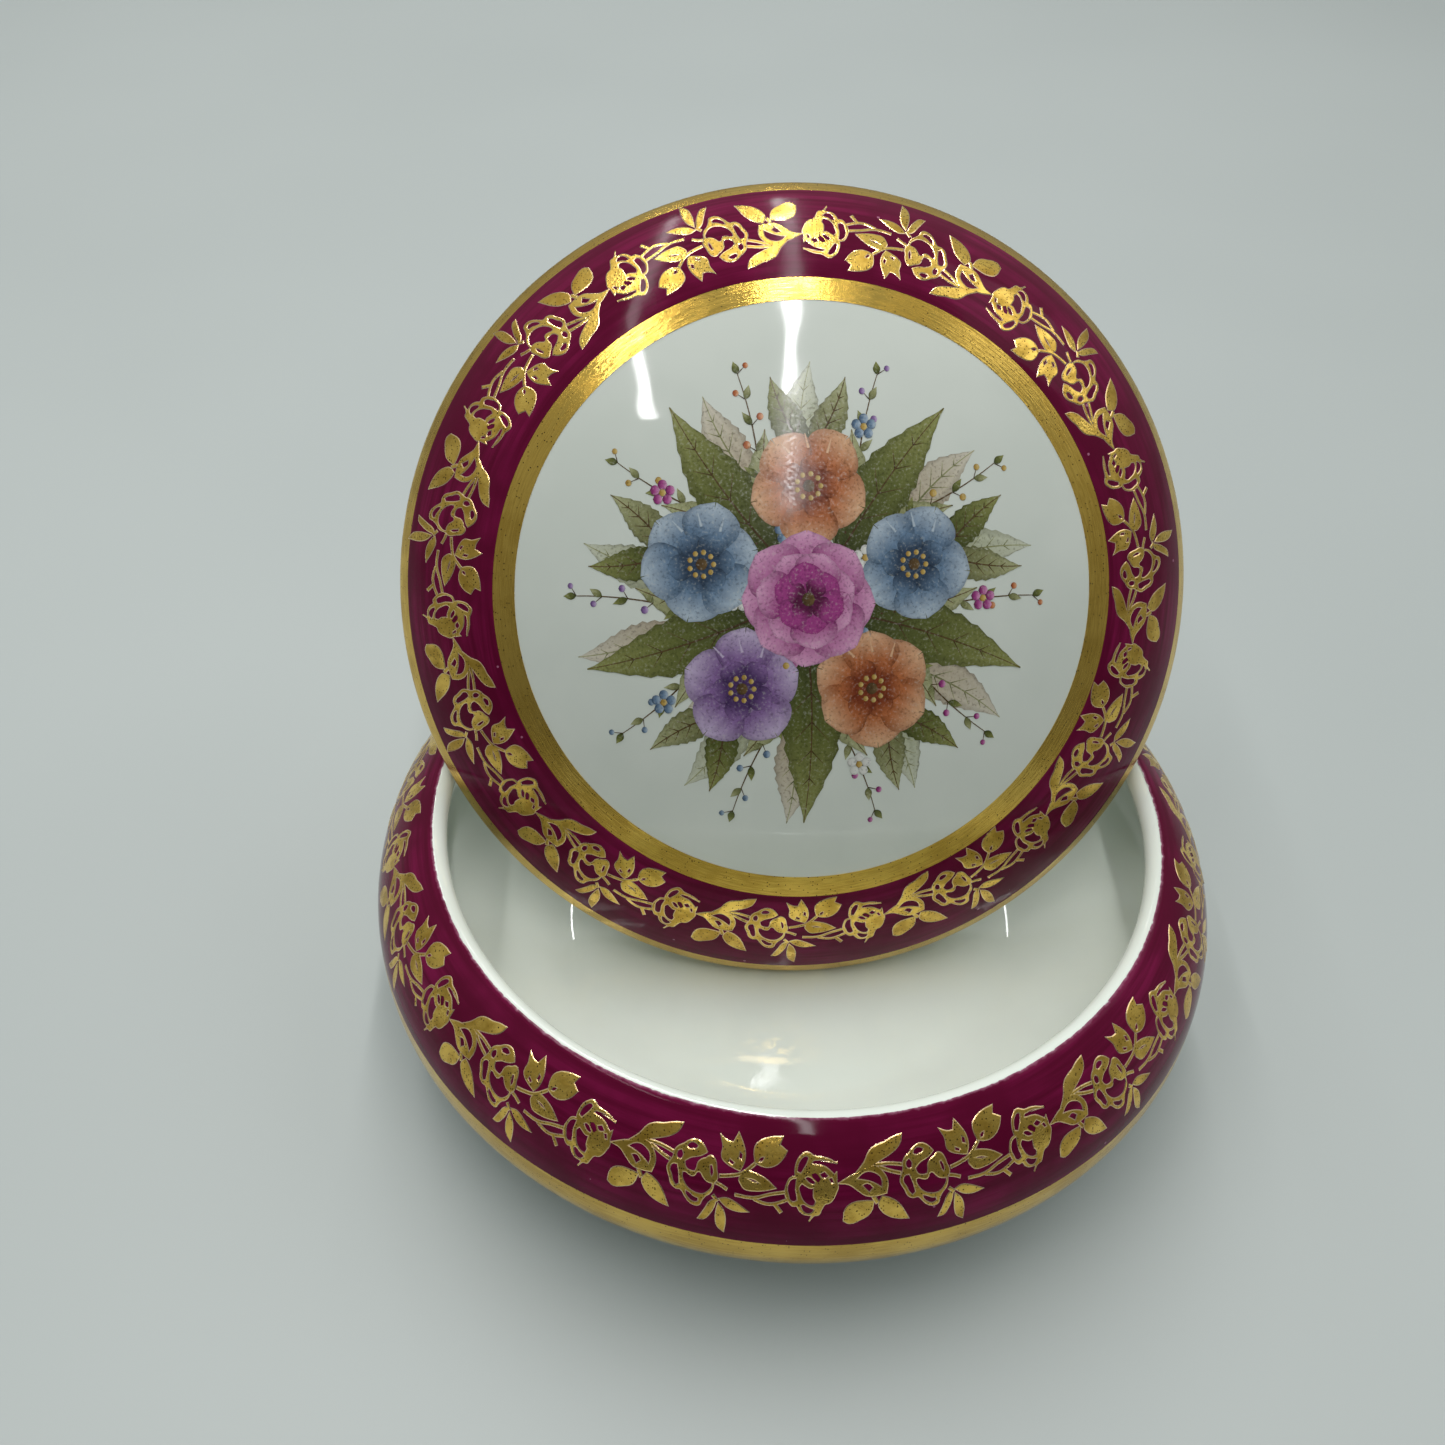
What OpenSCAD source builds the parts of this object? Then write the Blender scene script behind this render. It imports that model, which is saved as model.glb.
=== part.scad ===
// Porcelain trinket box: a low round bowl and a loose domed lid, with fired-on enamel and gilding.
// Millimetres. The origin is the centre of the foot ring's resting face, and +Z is up.

/* [Bowl] */
// Largest diameter of the bowl
bowl_d = 92; // [86:0.5:100]
// Height of the largest diameter above the table
widest_h = 14.5; // [13.5:0.1:18]
// Radius of the rounded shoulder above the largest diameter
shoulder_r = 13; // [12:0.1:14]
// Radius of the tight turn below the largest diameter
belly_r = 5; // [4.2:0.1:6]
// Slope of the underside from the turn to the foot, in degrees
under_slope = 16.8; // [15:0.1:19]
// Thickness of the bowl's wall
bowl_wall = 2.6; // [2.2:0.1:3]
// Diameter of the mouth, measured inside the lip
mouth_d = 74.9; // [73:0.1:77]
// How far the rolled lip stands out from the wall on each side
lip_roll = 0.1; // [0.05:0.05:0.2]
// Diameter of the flat floor inside
floor_d = 51.4; // [48:0.2:55]
// Thickness of the floor
floor_t = 3.6; // [3:0.1:4.2]
// Outer diameter of the foot ring
foot_d = 58; // [54:0.5:62]
// Width of the foot ring
foot_w = 3.2; // [2.4:0.1:4]
// Radius of the fillet between the foot ring and the underside
foot_fillet = 3; // [1.5:0.1:3.5]

/* [Lid] */
// Outer diameter of the lid's porcelain edge
lid_d = 84.9; // [83.5:0.1:86.5]
// Radius of the lid's shallow crown
crown_r = 90; // [80:1:110]
// Diameter of the circle where the crown runs into the shoulder
crown_d = 63; // [60:0.5:65]
// Radius of the lid's shoulder, from the crown to the edge
lid_shoulder_r = 22; // [20:0.5:24]
// Thickness of the lid's wall
lid_wall = 2.4; // [2:0.1:2.8]
// How far the rounded edge stands out from the wall on each side
edge_roll = 0.1; // [0.05:0.05:0.2]
// Depth of the flange that drops into the mouth
flange_h = 4; // [2.5:0.1:5]
// Width of the flange
flange_w = 2.2; // [1.8:0.1:3]
// Clearance between the flange and the mouth, on each side
flange_gap = 0.5; // [0.3:0.05:0.8]

/* [Lid place] */
// Where the lid is: leaning in the open bowl, or closing it
lid_place = "leaning"; // [leaning, closed]
// Slope of the leaning lid, in degrees from level
lean_angle = 53.9; // [50:0.1:60]
// Gap left where the leaning lid rests on the floor and against the lip
rest_gap = 0.25; // [0.2:0.05:0.4]

/* [Enamel and gilding] */
// Thickness of the fired enamel
enamel_t = 0.2; // [0.15:0.05:0.3]
// Thickness of the fired gilding
gilt_t = 0.15; // [0.1:0.05:0.2]
// Distance of the bowl enamel's upper edge outside the crest of the lip
enamel_setback = 0.1; // [0:0.05:0.4]
// Height of the bowl's gilt line above the largest diameter
line_above = 1.5; // [1:0.1:2]
// Depth of the bowl's gilt line below the largest diameter
line_below = 3; // [2:0.1:3.8]
// Width of the gilt line along the lid's edge, seen from above
edge_line_w = 0.9; // [0.6:0.1:1.4]
// Width of the gilt ring between the lid's enamel and its white crown
ring_w = 2.3; // [1.5:0.1:3]

/* [Garlands and flowers] */
// Garland repeats round the bowl
bowl_repeats = 13; // [11:1:14]
// Garland repeats round the lid
lid_repeats = 11; // [9:1:12]
// Diameter of a garland rose
rose_d = 4.6; // [3.6:0.1:5]
// Diameter of a garland bud
bud_d = 2.6; // [2:0.1:3.2]
// Length of a garland leaf
leaf_l = 4.4; // [3.4:0.1:5]
// Width of a garland leaf
leaf_w = 1.9; // [1.4:0.1:2.4]
// Width of the garland's stem
stem_w = 0.5; // [0.4:0.05:0.7]
// Clear enamel left between a garland and the edges of its band
garland_margin = 1; // [0.7:0.1:1.2]
// Thickness of the painted flower spray on the lid
paint_t = 0.1; // [0.1:0.05:0.2]
// Blossoms in the ring of the spray
spray_count = 5; // [4:1:6]
// Radius of the circle on which the spray's blossoms lie
spray_r = 11; // [10:0.5:13]
// Diameter of one petal of the spray
petal_d = 5.4; // [4.5:0.1:6]
// Length of a leaf of the spray
spray_leaf_l = 12; // [9:0.5:13]
// Width of a leaf of the spray
spray_leaf_w = 5; // [4:0.1:6]

/* [Hidden] */
$fn = 96;
porcelain = "whitesmoke";
burgundy = "#6b1038";
gold = "#c9a23a";
rose_pink = "#a8447e";

// A length beyond every size here, for cutting planes
far = bowl_d + lid_d;
// Overlap of two shapes that are joined into one solid
joint_overlap = 0.5;

// Bowl section: centres of its arcs and heights of its flats
bowl_r = bowl_d / 2;
shoulder_c = bowl_r - shoulder_r;
belly_c = bowl_r - belly_r;
belly_in_r = belly_r - bowl_wall;
lip_r = bowl_wall / 2 + lip_roll;
lip_c = mouth_d / 2 + lip_r;
lip_arc_r = shoulder_r - bowl_wall / 2;
lip_angle = acos((lip_c - shoulder_c) / lip_arc_r);
lip_z = widest_h + lip_arc_r * sin(lip_angle);
lip_top = lip_z + lip_r;
foot_r = foot_d / 2;
// Height of the sloping underside, and of the sloping inside, at a distance from the axis
function under_z(r) = widest_h - belly_r / cos(under_slope) - (belly_c - r) * tan(under_slope);
function inside_z(r) = widest_h - belly_in_r / cos(under_slope) - (belly_c - r) * tan(under_slope);
floor_z = inside_z(floor_d / 2);
recess_z = floor_z - floor_t;

// Lid section in the lid's own frame: height 0 is the plane through the middle of the edge
edge_r = lid_wall / 2 + edge_roll;
edge_c = lid_d / 2 - edge_r;
crown_angle = asin(crown_d / 2 / crown_r);
lid_shoulder_c = (crown_r - lid_shoulder_r) * sin(crown_angle);
edge_arc_r = lid_shoulder_r - lid_wall / 2;
edge_angle = acos((edge_c - lid_shoulder_c) / edge_arc_r);
lid_shoulder_h = -edge_arc_r * sin(edge_angle);
crown_h = lid_shoulder_h - (crown_r - lid_shoulder_r) * cos(crown_angle);
seat_h = edge_roll - edge_r;
flange_r = mouth_d / 2 - flange_gap;
flange_in_r = flange_r - flange_w;
ring_r = crown_d / 2;
edge_line_r = lid_d / 2 - edge_line_w;

// The leaning lid slides back on the floor until its edge meets the lip on both sides. A lid too wide to
// reach the floor stands with its edge in the widest chord of the mouth instead.
bisect_steps = 30;
edge_step = 0.5;
function edge_point(a, y, z) =
    [edge_c * cos(a), y + edge_c * sin(a) * cos(lean_angle), z + edge_c * sin(a) * sin(lean_angle)];
function lip_distance(p) = norm([norm([p.x, p.y]) - lip_c, p.z - lip_z]);
function lean_room(y, z) =
    min([for (a = [-90:edge_step:0]) lip_distance(edge_point(a, y, z))]) - lip_r - edge_r - gilt_t - rest_gap;
function over_axis_y(z) = (z - lip_z) / tan(lean_angle);
function furthest_back(z, low, high, steps) =
    let (middle = (low + high) / 2)
    steps == 0 ? low
    : lean_room(middle, z) >= 0 ? furthest_back(z, middle, high, steps - 1)
    : furthest_back(z, low, middle, steps - 1);
function lowest_z(low, high, steps) =
    let (middle = (low + high) / 2)
    steps == 0 ? high
    : lean_room(over_axis_y(middle), middle) >= 0 ? lowest_z(low, middle, steps - 1)
    : lowest_z(middle, high, steps - 1);
floor_lean_z = floor_z + rest_gap + gilt_t + edge_r + edge_c * sin(lean_angle);
reaches_floor = lean_room(over_axis_y(floor_lean_z), floor_lean_z) >= 0;
lean_z = reaches_floor ? floor_lean_z
    : lowest_z(floor_lean_z, lip_z + edge_c * sin(lean_angle), bisect_steps);
lean_y = reaches_floor
    ? furthest_back(lean_z, over_axis_y(lean_z), over_axis_y(lean_z) + mouth_d / 2, bisect_steps)
    : over_axis_y(lean_z);

// The half plane between two distances from the axis
module between_radii(inner, outer) {
    translate([inner, -far])
        square([outer - inner, 2 * far]);
}

// The half plane between two heights
module between_heights(low, high) {
    translate([-far, low])
        square([2 * far, high - low]);
}

// A disc placed in the section plane
module disc(r_at, z_at, r) {
    translate([r_at, z_at])
        circle(r = r);
}

// A wedge from one angle to another about a point of the section plane
module wedge(r_at, z_at, from, to) {
    translate([r_at, z_at])
        polygon([[0, 0], far * [cos(from), sin(from)], far * [cos((from + to) / 2), sin((from + to) / 2)],
                 far * [cos(to), sin(to)]]);
}

// A ring sector about a point of the section plane
module ring_sector(r_at, z_at, inner, outer, from, to) {
    intersection() {
        difference() {
            disc(r_at, z_at, outer);
            disc(r_at, z_at, inner);
        }
        wedge(r_at, z_at, from, to);
    }
}

// Everything inside the bowl's wall below the widest height: the turn, then the slope down to the floor
module below_widest(turn_r, floor_at) {
    slope_end_r = belly_c + turn_r * sin(under_slope);
    slope_end_z = widest_h - turn_r * cos(under_slope);
    floor_r = slope_end_r - (slope_end_z - floor_at) / tan(under_slope);
    polygon([[0, floor_at], [floor_r, floor_at], [slope_end_r, slope_end_z], [belly_c, widest_h], [0, widest_h]]);
    intersection() {
        disc(belly_c, widest_h, turn_r);
        wedge(belly_c, widest_h, under_slope - 90, 0);
    }
}

// The outline that enamel and gilding lie on, grown by a thickness, above the widest height
module bowl_skin(t) {
    intersection() {
        disc(shoulder_c, widest_h, shoulder_r + t);
        between_heights(widest_h, far);
    }
    disc(lip_c, lip_z, lip_r + t);
}

// The fillet in the corner between the foot ring's outside and the sloping underside
module foot_fillet_section() {
    centre_r = foot_r + foot_fillet;
    centre_z = under_z(centre_r) - foot_fillet / cos(under_slope);
    touch = [centre_r - foot_fillet * sin(under_slope), centre_z + foot_fillet * cos(under_slope)];
    difference() {
        polygon([[foot_r - joint_overlap, centre_z], [centre_r, centre_z], touch, touch + [0, joint_overlap],
                 [foot_r - joint_overlap, under_z(foot_r) + joint_overlap]]);
        disc(centre_r, centre_z, foot_fillet);
    }
}

module bowl_section() {
    ring_sector(shoulder_c, widest_h, shoulder_r - bowl_wall, shoulder_r, 0, lip_angle);
    disc(lip_c, lip_z, lip_r);
    difference() {
        union() {
            below_widest(belly_r, recess_z);
            translate([0, recess_z])
                square([foot_r, floor_t - joint_overlap]);
        }
        below_widest(belly_in_r, floor_z);
    }
    translate([foot_r - foot_w, 0])
        square([foot_w, recess_z + joint_overlap]);
    foot_fillet_section();
}

module bowl_body() {
    color(porcelain)
        rotate_extrude()
            bowl_section();
}

module bowl_enamel_band() {
    color(burgundy)
        rotate_extrude()
            intersection() {
                difference() {
                    bowl_skin(enamel_t);
                    bowl_skin(0);
                }
                between_radii(lip_c + enamel_setback, far);
                between_heights(widest_h + line_above, far);
            }
}

module bowl_gilt_line() {
    color(gold)
        rotate_extrude() {
            intersection() {
                ring_sector(shoulder_c, widest_h, shoulder_r, shoulder_r + gilt_t, 0, lip_angle);
                between_heights(widest_h, widest_h + line_above);
            }
            intersection() {
                ring_sector(belly_c, widest_h, belly_r, belly_r + gilt_t, under_slope - 90, 0);
                between_heights(widest_h - line_below, widest_h);
            }
        }
}

// A leaf lying along +X, its two sides arcs of one radius
module leaf(l, w) {
    side_r = (l * l + w * w) / (4 * w);
    intersection() {
        translate([l / 2, side_r - w / 2])
            circle(r = side_r);
        translate([l / 2, w / 2 - side_r])
            circle(r = side_r);
    }
}

// One repeat of a garland, flat: +Y runs along the band, and the repeat is centred on the origin
module garland_repeat(pitch) {
    rose_y = -pitch / 4;
    bud_y = pitch / 4;
    leaf_angle = 62;
    translate([0, rose_y])
        circle(d = rose_d);
    translate([0, bud_y])
        circle(d = bud_d);
    translate([-stem_w / 2, rose_y])
        square([stem_w, bud_y - rose_y]);
    for (side = [-1, 1])
        rotate(90 - side * leaf_angle)
            leaf(leaf_l, leaf_w);
    translate([0, bud_y])
        rotate(90)
            leaf(leaf_l, leaf_w);
}

// A garland laid on a shoulder of enamel, between two angles of its arc: each repeat is cut from a thin shell
// along its own normal
module garland(centre_r, centre_z, skin_r, low_angle, high_angle, repeats) {
    middle_angle = (low_angle + high_angle) / 2;
    margin_angle = garland_margin / skin_r * 180 / PI;
    circle_r = centre_r + skin_r * cos(middle_angle);
    pitch = 2 * PI * circle_r / repeats;
    depth = pitch / 4;
    intersection() {
        rotate_extrude()
            ring_sector(centre_r, centre_z, skin_r, skin_r + gilt_t, low_angle + margin_angle,
                        high_angle - margin_angle);
        for (i = [0:repeats - 1])
            rotate([0, 0, (i + 0.5) * 360 / repeats])
                translate([centre_r, 0, centre_z])
                    rotate([0, 90 - middle_angle, 0])
                        translate([0, 0, skin_r - depth])
                            linear_extrude(2 * depth)
                                garland_repeat(pitch);
    }
}

module bowl_garland() {
    color(gold)
        garland(shoulder_c, widest_h, shoulder_r + enamel_t, asin(line_above / shoulder_r), lip_angle,
                bowl_repeats);
}

// The outline of the lid's outside, grown by a thickness, and filled below
module lid_skin(t) {
    intersection() {
        disc(0, crown_h, crown_r + t);
        between_radii(0, ring_r);
        between_heights(seat_h, far);
    }
    intersection() {
        disc(lid_shoulder_c, lid_shoulder_h, lid_shoulder_r + t);
        wedge(lid_shoulder_c, lid_shoulder_h, edge_angle, 90);
        between_radii(ring_r, far);
        between_heights(seat_h, far);
    }
    intersection() {
        between_radii(ring_r, edge_c);
        between_heights(seat_h, edge_r);
    }
    disc(edge_c, 0, edge_r + t);
}

// The hollow of the lid, inside the flange
module lid_hollow() {
    intersection() {
        union() {
            intersection() {
                disc(0, crown_h, crown_r - lid_wall);
                between_radii(0, ring_r);
            }
            intersection() {
                disc(lid_shoulder_c, lid_shoulder_h, lid_shoulder_r - lid_wall);
                between_radii(ring_r, far);
            }
        }
        between_radii(0, flange_in_r);
        between_heights(seat_h - flange_h - joint_overlap, far);
    }
}

module lid_section() {
    difference() {
        union() {
            lid_skin(0);
            translate([flange_in_r, seat_h - flange_h])
                square([flange_w, flange_h + joint_overlap]);
        }
        lid_hollow();
    }
}

// A fired layer on the lid between two distances from its axis
module lid_layer(t, inner, outer, low) {
    intersection() {
        difference() {
            lid_skin(t);
            lid_skin(0);
        }
        between_radii(inner, outer);
        between_heights(low, far);
    }
}

// Places anything built in the lid's own frame
module on_lid() {
    if (lid_place == "closed")
        translate([0, 0, lip_top - seat_h])
            children();
    else
        translate([0, lean_y, lean_z])
            rotate([lean_angle, 0, 0])
                children();
}

module lid_body() {
    color(porcelain)
        on_lid()
            rotate_extrude()
                lid_section();
}

module lid_enamel_band() {
    color(burgundy)
        on_lid()
            rotate_extrude()
                lid_layer(enamel_t, ring_r, edge_line_r, 0);
}

module lid_gilt_edge() {
    color(gold)
        on_lid()
            rotate_extrude()
                lid_layer(gilt_t, edge_line_r, far, -far);
}

module lid_gilt_ring() {
    color(gold)
        on_lid()
            rotate_extrude()
                lid_layer(gilt_t, ring_r - ring_w, ring_r, 0);
}

module lid_garland() {
    color(gold)
        on_lid()
            garland(lid_shoulder_c, lid_shoulder_h, lid_shoulder_r + enamel_t,
                    acos((edge_line_r - lid_shoulder_c) / lid_shoulder_r), 90 - crown_angle, lid_repeats);
}

// A blossom of five petals round the origin
module blossom() {
    petals = 5;
    petal_at = 0.6 * petal_d;
    circle(d = petal_d);
    for (i = [0:petals - 1])
        rotate(i * 360 / petals)
            translate([petal_at, 0])
                circle(d = petal_d);
}

// The spray, flat: one blossom in the middle, a ring of blossoms round it and leaves between those
module spray_outline() {
    blossom();
    for (i = [0:spray_count - 1])
        rotate(90 + i * 360 / spray_count) {
            translate([spray_r, 0])
                blossom();
            rotate(180 / spray_count)
                translate([spray_r, 0])
                    leaf(spray_leaf_l, spray_leaf_w);
        }
}

module lid_flower_spray() {
    color(rose_pink)
        on_lid()
            intersection() {
                rotate_extrude()
                    intersection() {
                        difference() {
                            disc(0, crown_h, crown_r + paint_t);
                            disc(0, crown_h, crown_r);
                        }
                        between_radii(0, ring_r - ring_w);
                        between_heights(0, far);
                    }
                linear_extrude(crown_r)
                    spray_outline();
            }
}

bowl_body();
bowl_enamel_band();
bowl_gilt_line();
bowl_garland();
lid_body();
lid_enamel_band();
lid_gilt_edge();
lid_gilt_ring();
lid_garland();
lid_flower_spray();
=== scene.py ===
# %% [markdown]
# # A porcelain trinket box with its lid leaning in the bowl
#
# The real box is two cast porcelain pieces: a low bowl on a foot ring and a loose domed lid with a flange.
# Both are glazed white and fired. Burgundy enamel, gold and flower painting are then laid on as thin films
# and fired again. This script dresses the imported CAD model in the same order: the porcelain is spun from its
# section, each film is spun or drawn on top of it, and every finish is a material made of nodes.

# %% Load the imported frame
import math
import random

import bpy
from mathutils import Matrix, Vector


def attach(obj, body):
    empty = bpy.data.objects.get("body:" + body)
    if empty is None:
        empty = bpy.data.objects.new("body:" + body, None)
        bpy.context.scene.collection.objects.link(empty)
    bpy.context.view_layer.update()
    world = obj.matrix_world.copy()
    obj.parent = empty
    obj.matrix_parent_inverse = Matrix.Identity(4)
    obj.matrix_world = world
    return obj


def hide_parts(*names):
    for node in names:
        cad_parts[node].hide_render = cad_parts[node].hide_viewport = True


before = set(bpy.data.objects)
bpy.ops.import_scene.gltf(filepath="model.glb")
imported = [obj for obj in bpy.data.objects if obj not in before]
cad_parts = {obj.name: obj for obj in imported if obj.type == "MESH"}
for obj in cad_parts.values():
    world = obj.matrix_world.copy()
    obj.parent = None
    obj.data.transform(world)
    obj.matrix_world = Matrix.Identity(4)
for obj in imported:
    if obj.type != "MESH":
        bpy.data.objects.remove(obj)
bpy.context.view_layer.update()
mm = 0.001

# %% [markdown]
# ## Camera
#
# The camera comes first, because every later choice is judged through it. Its place and turn were found by
# fitting circles of the model to the photograph's ellipses: it looks down at about 45 degrees from close by,
# so the near side of the bowl is much larger than the far side. A wide lens at that distance keeps this look.

# %% Camera
PHOTO_SIDE = 1445
FOCAL_PIXELS = 1450.0
SENSOR_WIDTH = 36.0
NEAR_CLIP = 5 * mm
FAR_CLIP = 20.0
CAMERA_PLACE = Vector((-13.591, -106.669, 141.419)) * mm
CAMERA_TURN = (math.radians(45.7394), math.radians(-1.2217), math.radians(-1.6911))

bpy.ops.object.select_all(action="DESELECT")
bpy.ops.object.camera_add(location=CAMERA_PLACE, rotation=CAMERA_TURN)
camera = bpy.context.object
camera.data.sensor_width = SENSOR_WIDTH
camera.data.lens = SENSOR_WIDTH * FOCAL_PIXELS / PHOTO_SIDE
camera.data.clip_start = NEAR_CLIP
camera.data.clip_end = FAR_CLIP
bpy.context.scene.camera = camera
print("camera lens:", round(camera.data.lens, 2), "mm")

# %% [markdown]
# ## Drawing and spinning a section
#
# A potter's mould and a lathe make round things from one section. Blender's spin does the same. The section
# is drawn with a pen of one vertex: extrude draws a straight line, and spin about a centre in the section's
# plane works as a compass. A second spin, about the upright axis, turns the section into the round piece.

# %% The pen, the compass and the lathe
ROUND_STEPS = 224
SAME_POINT = 0.001
WELD = 0.0005
SMOOTH_BELOW = math.radians(35)


def arc_point(arc, angle):
    """The point of an arc (centre r, centre z, radius) at an angle in degrees, in mm."""
    turn = math.radians(angle)
    return arc[0] + arc[2] * math.cos(turn), arc[1] + arc[2] * math.sin(turn)


def draw_section(moves):
    """Draws ("line", r, z) and ("arc", arc, from, to, steps) in the XZ plane, where x is the distance r from
    the axis. A line joins each move to the one before it. The new object stays in edit mode."""
    bpy.ops.object.select_all(action="DESELECT")
    bpy.ops.mesh.primitive_plane_add(size=mm)
    bpy.ops.object.mode_set(mode="EDIT")
    bpy.ops.mesh.merge(type="CENTER")
    pen = None
    for move in moves:
        start = move[1:3] if move[0] == "line" else arc_point(move[1], move[2])
        if pen is None:
            bpy.ops.transform.translate(value=(start[0] * mm, 0, start[1] * mm))
        elif math.dist(pen, start) > SAME_POINT:
            step = ((start[0] - pen[0]) * mm, 0, (start[1] - pen[1]) * mm)
            bpy.ops.mesh.extrude_region_move(TRANSFORM_OT_translate={"value": step})
        pen = start
        if move[0] == "arc":
            arc, first, last, steps = move[1:]
            bpy.ops.mesh.spin(
                steps=steps,
                angle=math.radians(last - first),
                center=(arc[0] * mm, 0, arc[1] * mm),
                axis=(0, 1, 0),
            )
            pen = arc_point(arc, last)


def spin_section(name, moves):
    """Draws a section and turns it about the upright axis into a round piece, in object mode."""
    draw_section(moves)
    bpy.ops.mesh.select_all(action="SELECT")
    bpy.ops.mesh.spin(steps=ROUND_STEPS, angle=2 * math.pi, center=(0, 0, 0), axis=(0, 0, 1))
    bpy.ops.mesh.select_all(action="SELECT")
    bpy.ops.mesh.remove_doubles(threshold=WELD * mm)
    bpy.ops.mesh.normals_make_consistent(inside=False)
    bpy.ops.object.mode_set(mode="OBJECT")
    piece = bpy.context.object
    piece.name = name
    piece.data.name = name
    bpy.ops.object.shade_smooth_by_angle(angle=SMOOTH_BELOW)
    print(name, "has", len(piece.data.polygons), "faces")
    return piece


# %% [markdown]
# ## The bowl's porcelain
#
# The bowl is one casting: a flat floor, a slope up to a tight belly, a rounded shoulder that closes in to the
# mouth, and a lip that is rolled round like a bead. Underneath, a turned foot ring carries it. The sizes
# follow the CAD model's. Soft arcs replace the CAD's sharp corners, because glaze gathers in every corner.

# %% Bowl porcelain
SHOULDER = (33.0, 14.5, 13.0)
BELLY = (39.5, 13.9, 6.5)
BELLY_IN = (41.0, 14.5, 2.4)
BOWL_WALL = 2.6
FLOOR_SLOPE = 16.8
UNDER_SLOPE = 12.0
LIP = (38.85, 24.6325, 1.3)
LIP_AT = 60.0
FLOOR_R = 25.7
FLOOR_Z = 7.374
FLOOR_TURN_R = 9.0
FLOOR_POINTS_R = (0, 8, 16)
RECESS_Z = 3.774
RECESS_ROUND = 1.5
RECESS_POINTS_R = (12, 0)
FOOT_R = 29.0
FOOT_IN_R = 25.8
FOOT_EDGE = 0.6
FOOT_FILLET = 3.0


def grown(arc, by):
    """The arc with its radius larger by a thickness."""
    return arc[0], arc[1], arc[2] + by


shoulder_in = grown(SHOULDER, -BOWL_WALL)
floor_angle = FLOOR_SLOPE - 90
under_angle = UNDER_SLOPE - 90
floor_bend = FLOOR_TURN_R * math.tan(math.radians(FLOOR_SLOPE / 2))
floor_turn = (FLOOR_R - floor_bend, FLOOR_Z + FLOOR_TURN_R, FLOOR_TURN_R)
belly_low = arc_point(BELLY, under_angle)
fillet_r = FOOT_R + FOOT_FILLET
under_fillet_z = belly_low[1] - (belly_low[0] - fillet_r) * math.tan(math.radians(UNDER_SLOPE))
fillet_z = under_fillet_z - FOOT_FILLET / math.cos(math.radians(UNDER_SLOPE))

bowl_porcelain = spin_section(
    "bowl_porcelain",
    [
        *[("line", r, FLOOR_Z) for r in FLOOR_POINTS_R],
        ("arc", floor_turn, -90, floor_angle, 8),
        ("arc", BELLY_IN, floor_angle, 0, 14),
        ("arc", shoulder_in, 0, LIP_AT, 20),
        ("arc", LIP, LIP_AT + 180, LIP_AT, 22),
        ("arc", SHOULDER, LIP_AT, 0, 26),
        ("arc", BELLY, 0, under_angle, 18),
        ("arc", (fillet_r, fillet_z, FOOT_FILLET), 90 + UNDER_SLOPE, 180, 8),
        ("arc", (FOOT_R - FOOT_EDGE, FOOT_EDGE, FOOT_EDGE), 0, -90, 5),
        ("arc", (FOOT_IN_R + FOOT_EDGE, FOOT_EDGE, FOOT_EDGE), -90, -180, 5),
        ("arc", (FOOT_IN_R - RECESS_ROUND, RECESS_Z - RECESS_ROUND, RECESS_ROUND), 0, 90, 5),
        *[("line", r, RECESS_Z) for r in RECESS_POINTS_R],
    ],
)
print("lip is", round(LIP[1] + LIP[2], 2), "mm above the floor")

# %% [markdown]
# ## The bowl's enamel and gilt line
#
# The burgundy enamel covers the shoulder from the crest of the lip down to the gold. It is a film of glass,
# so a surface is spun at its outside, and a Solidify modifier gives it its thickness inwards, into the glaze.
# The gold line below it goes round the widest part and a little way under it. Its edges are sharp, as a brush
# on a turning wheel leaves them.

# %% Bowl enamel and gilt line
ENAMEL_T = 0.08
GILT_T = 0.05
SINK = 0.05
ENAMEL_TOP_R = 38.95
LINE_TOP_Z = 15.9
LINE_LOW_Z = 10.6


def arc_angle_at_height(arc, z):
    """The angle in degrees, on the outer side, at which an arc is at a height."""
    return math.degrees(math.asin((z - arc[1]) / arc[2]))


def arc_angle_at_radius(arc, r):
    """The angle in degrees, on the upper side, at which an arc is at a distance from the axis."""
    return math.degrees(math.acos((r - arc[0]) / arc[2]))


def thicken(piece, depth):
    """Thickens the active surface inwards, in mm, and keeps the edges that this makes sharp."""
    wall = piece.modifiers.new("film", "SOLIDIFY")
    wall.thickness = depth * mm
    wall.offset = -1
    bpy.ops.object.modifier_apply(modifier=wall.name)
    bpy.ops.object.shade_smooth_by_angle(angle=SMOOTH_BELOW)
    return piece


def spin_film(name, moves, outside_t):
    """Spins the outside of a film and thickens it inwards, a little into what carries it."""
    return thicken(spin_section(name, moves), outside_t + SINK)


enamel_skin = grown(SHOULDER, ENAMEL_T)
enamel_lip = grown(LIP, ENAMEL_T)
bowl_enamel = spin_film(
    "bowl_enamel",
    [
        ("arc", enamel_skin, arc_angle_at_height(enamel_skin, LINE_TOP_Z), LIP_AT, 26),
        ("arc", enamel_lip, LIP_AT, arc_angle_at_radius(enamel_lip, ENAMEL_TOP_R), 8),
    ],
    ENAMEL_T,
)
gilt_belly = grown(BELLY, GILT_T)
gilt_shoulder = grown(SHOULDER, GILT_T)
bowl_gold_line = spin_film(
    "bowl_gold_line",
    [
        ("arc", gilt_belly, arc_angle_at_height(gilt_belly, LINE_LOW_Z), 0, 12),
        ("arc", gilt_shoulder, 0, arc_angle_at_height(gilt_shoulder, LINE_TOP_Z), 4),
    ],
    GILT_T,
)

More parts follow.
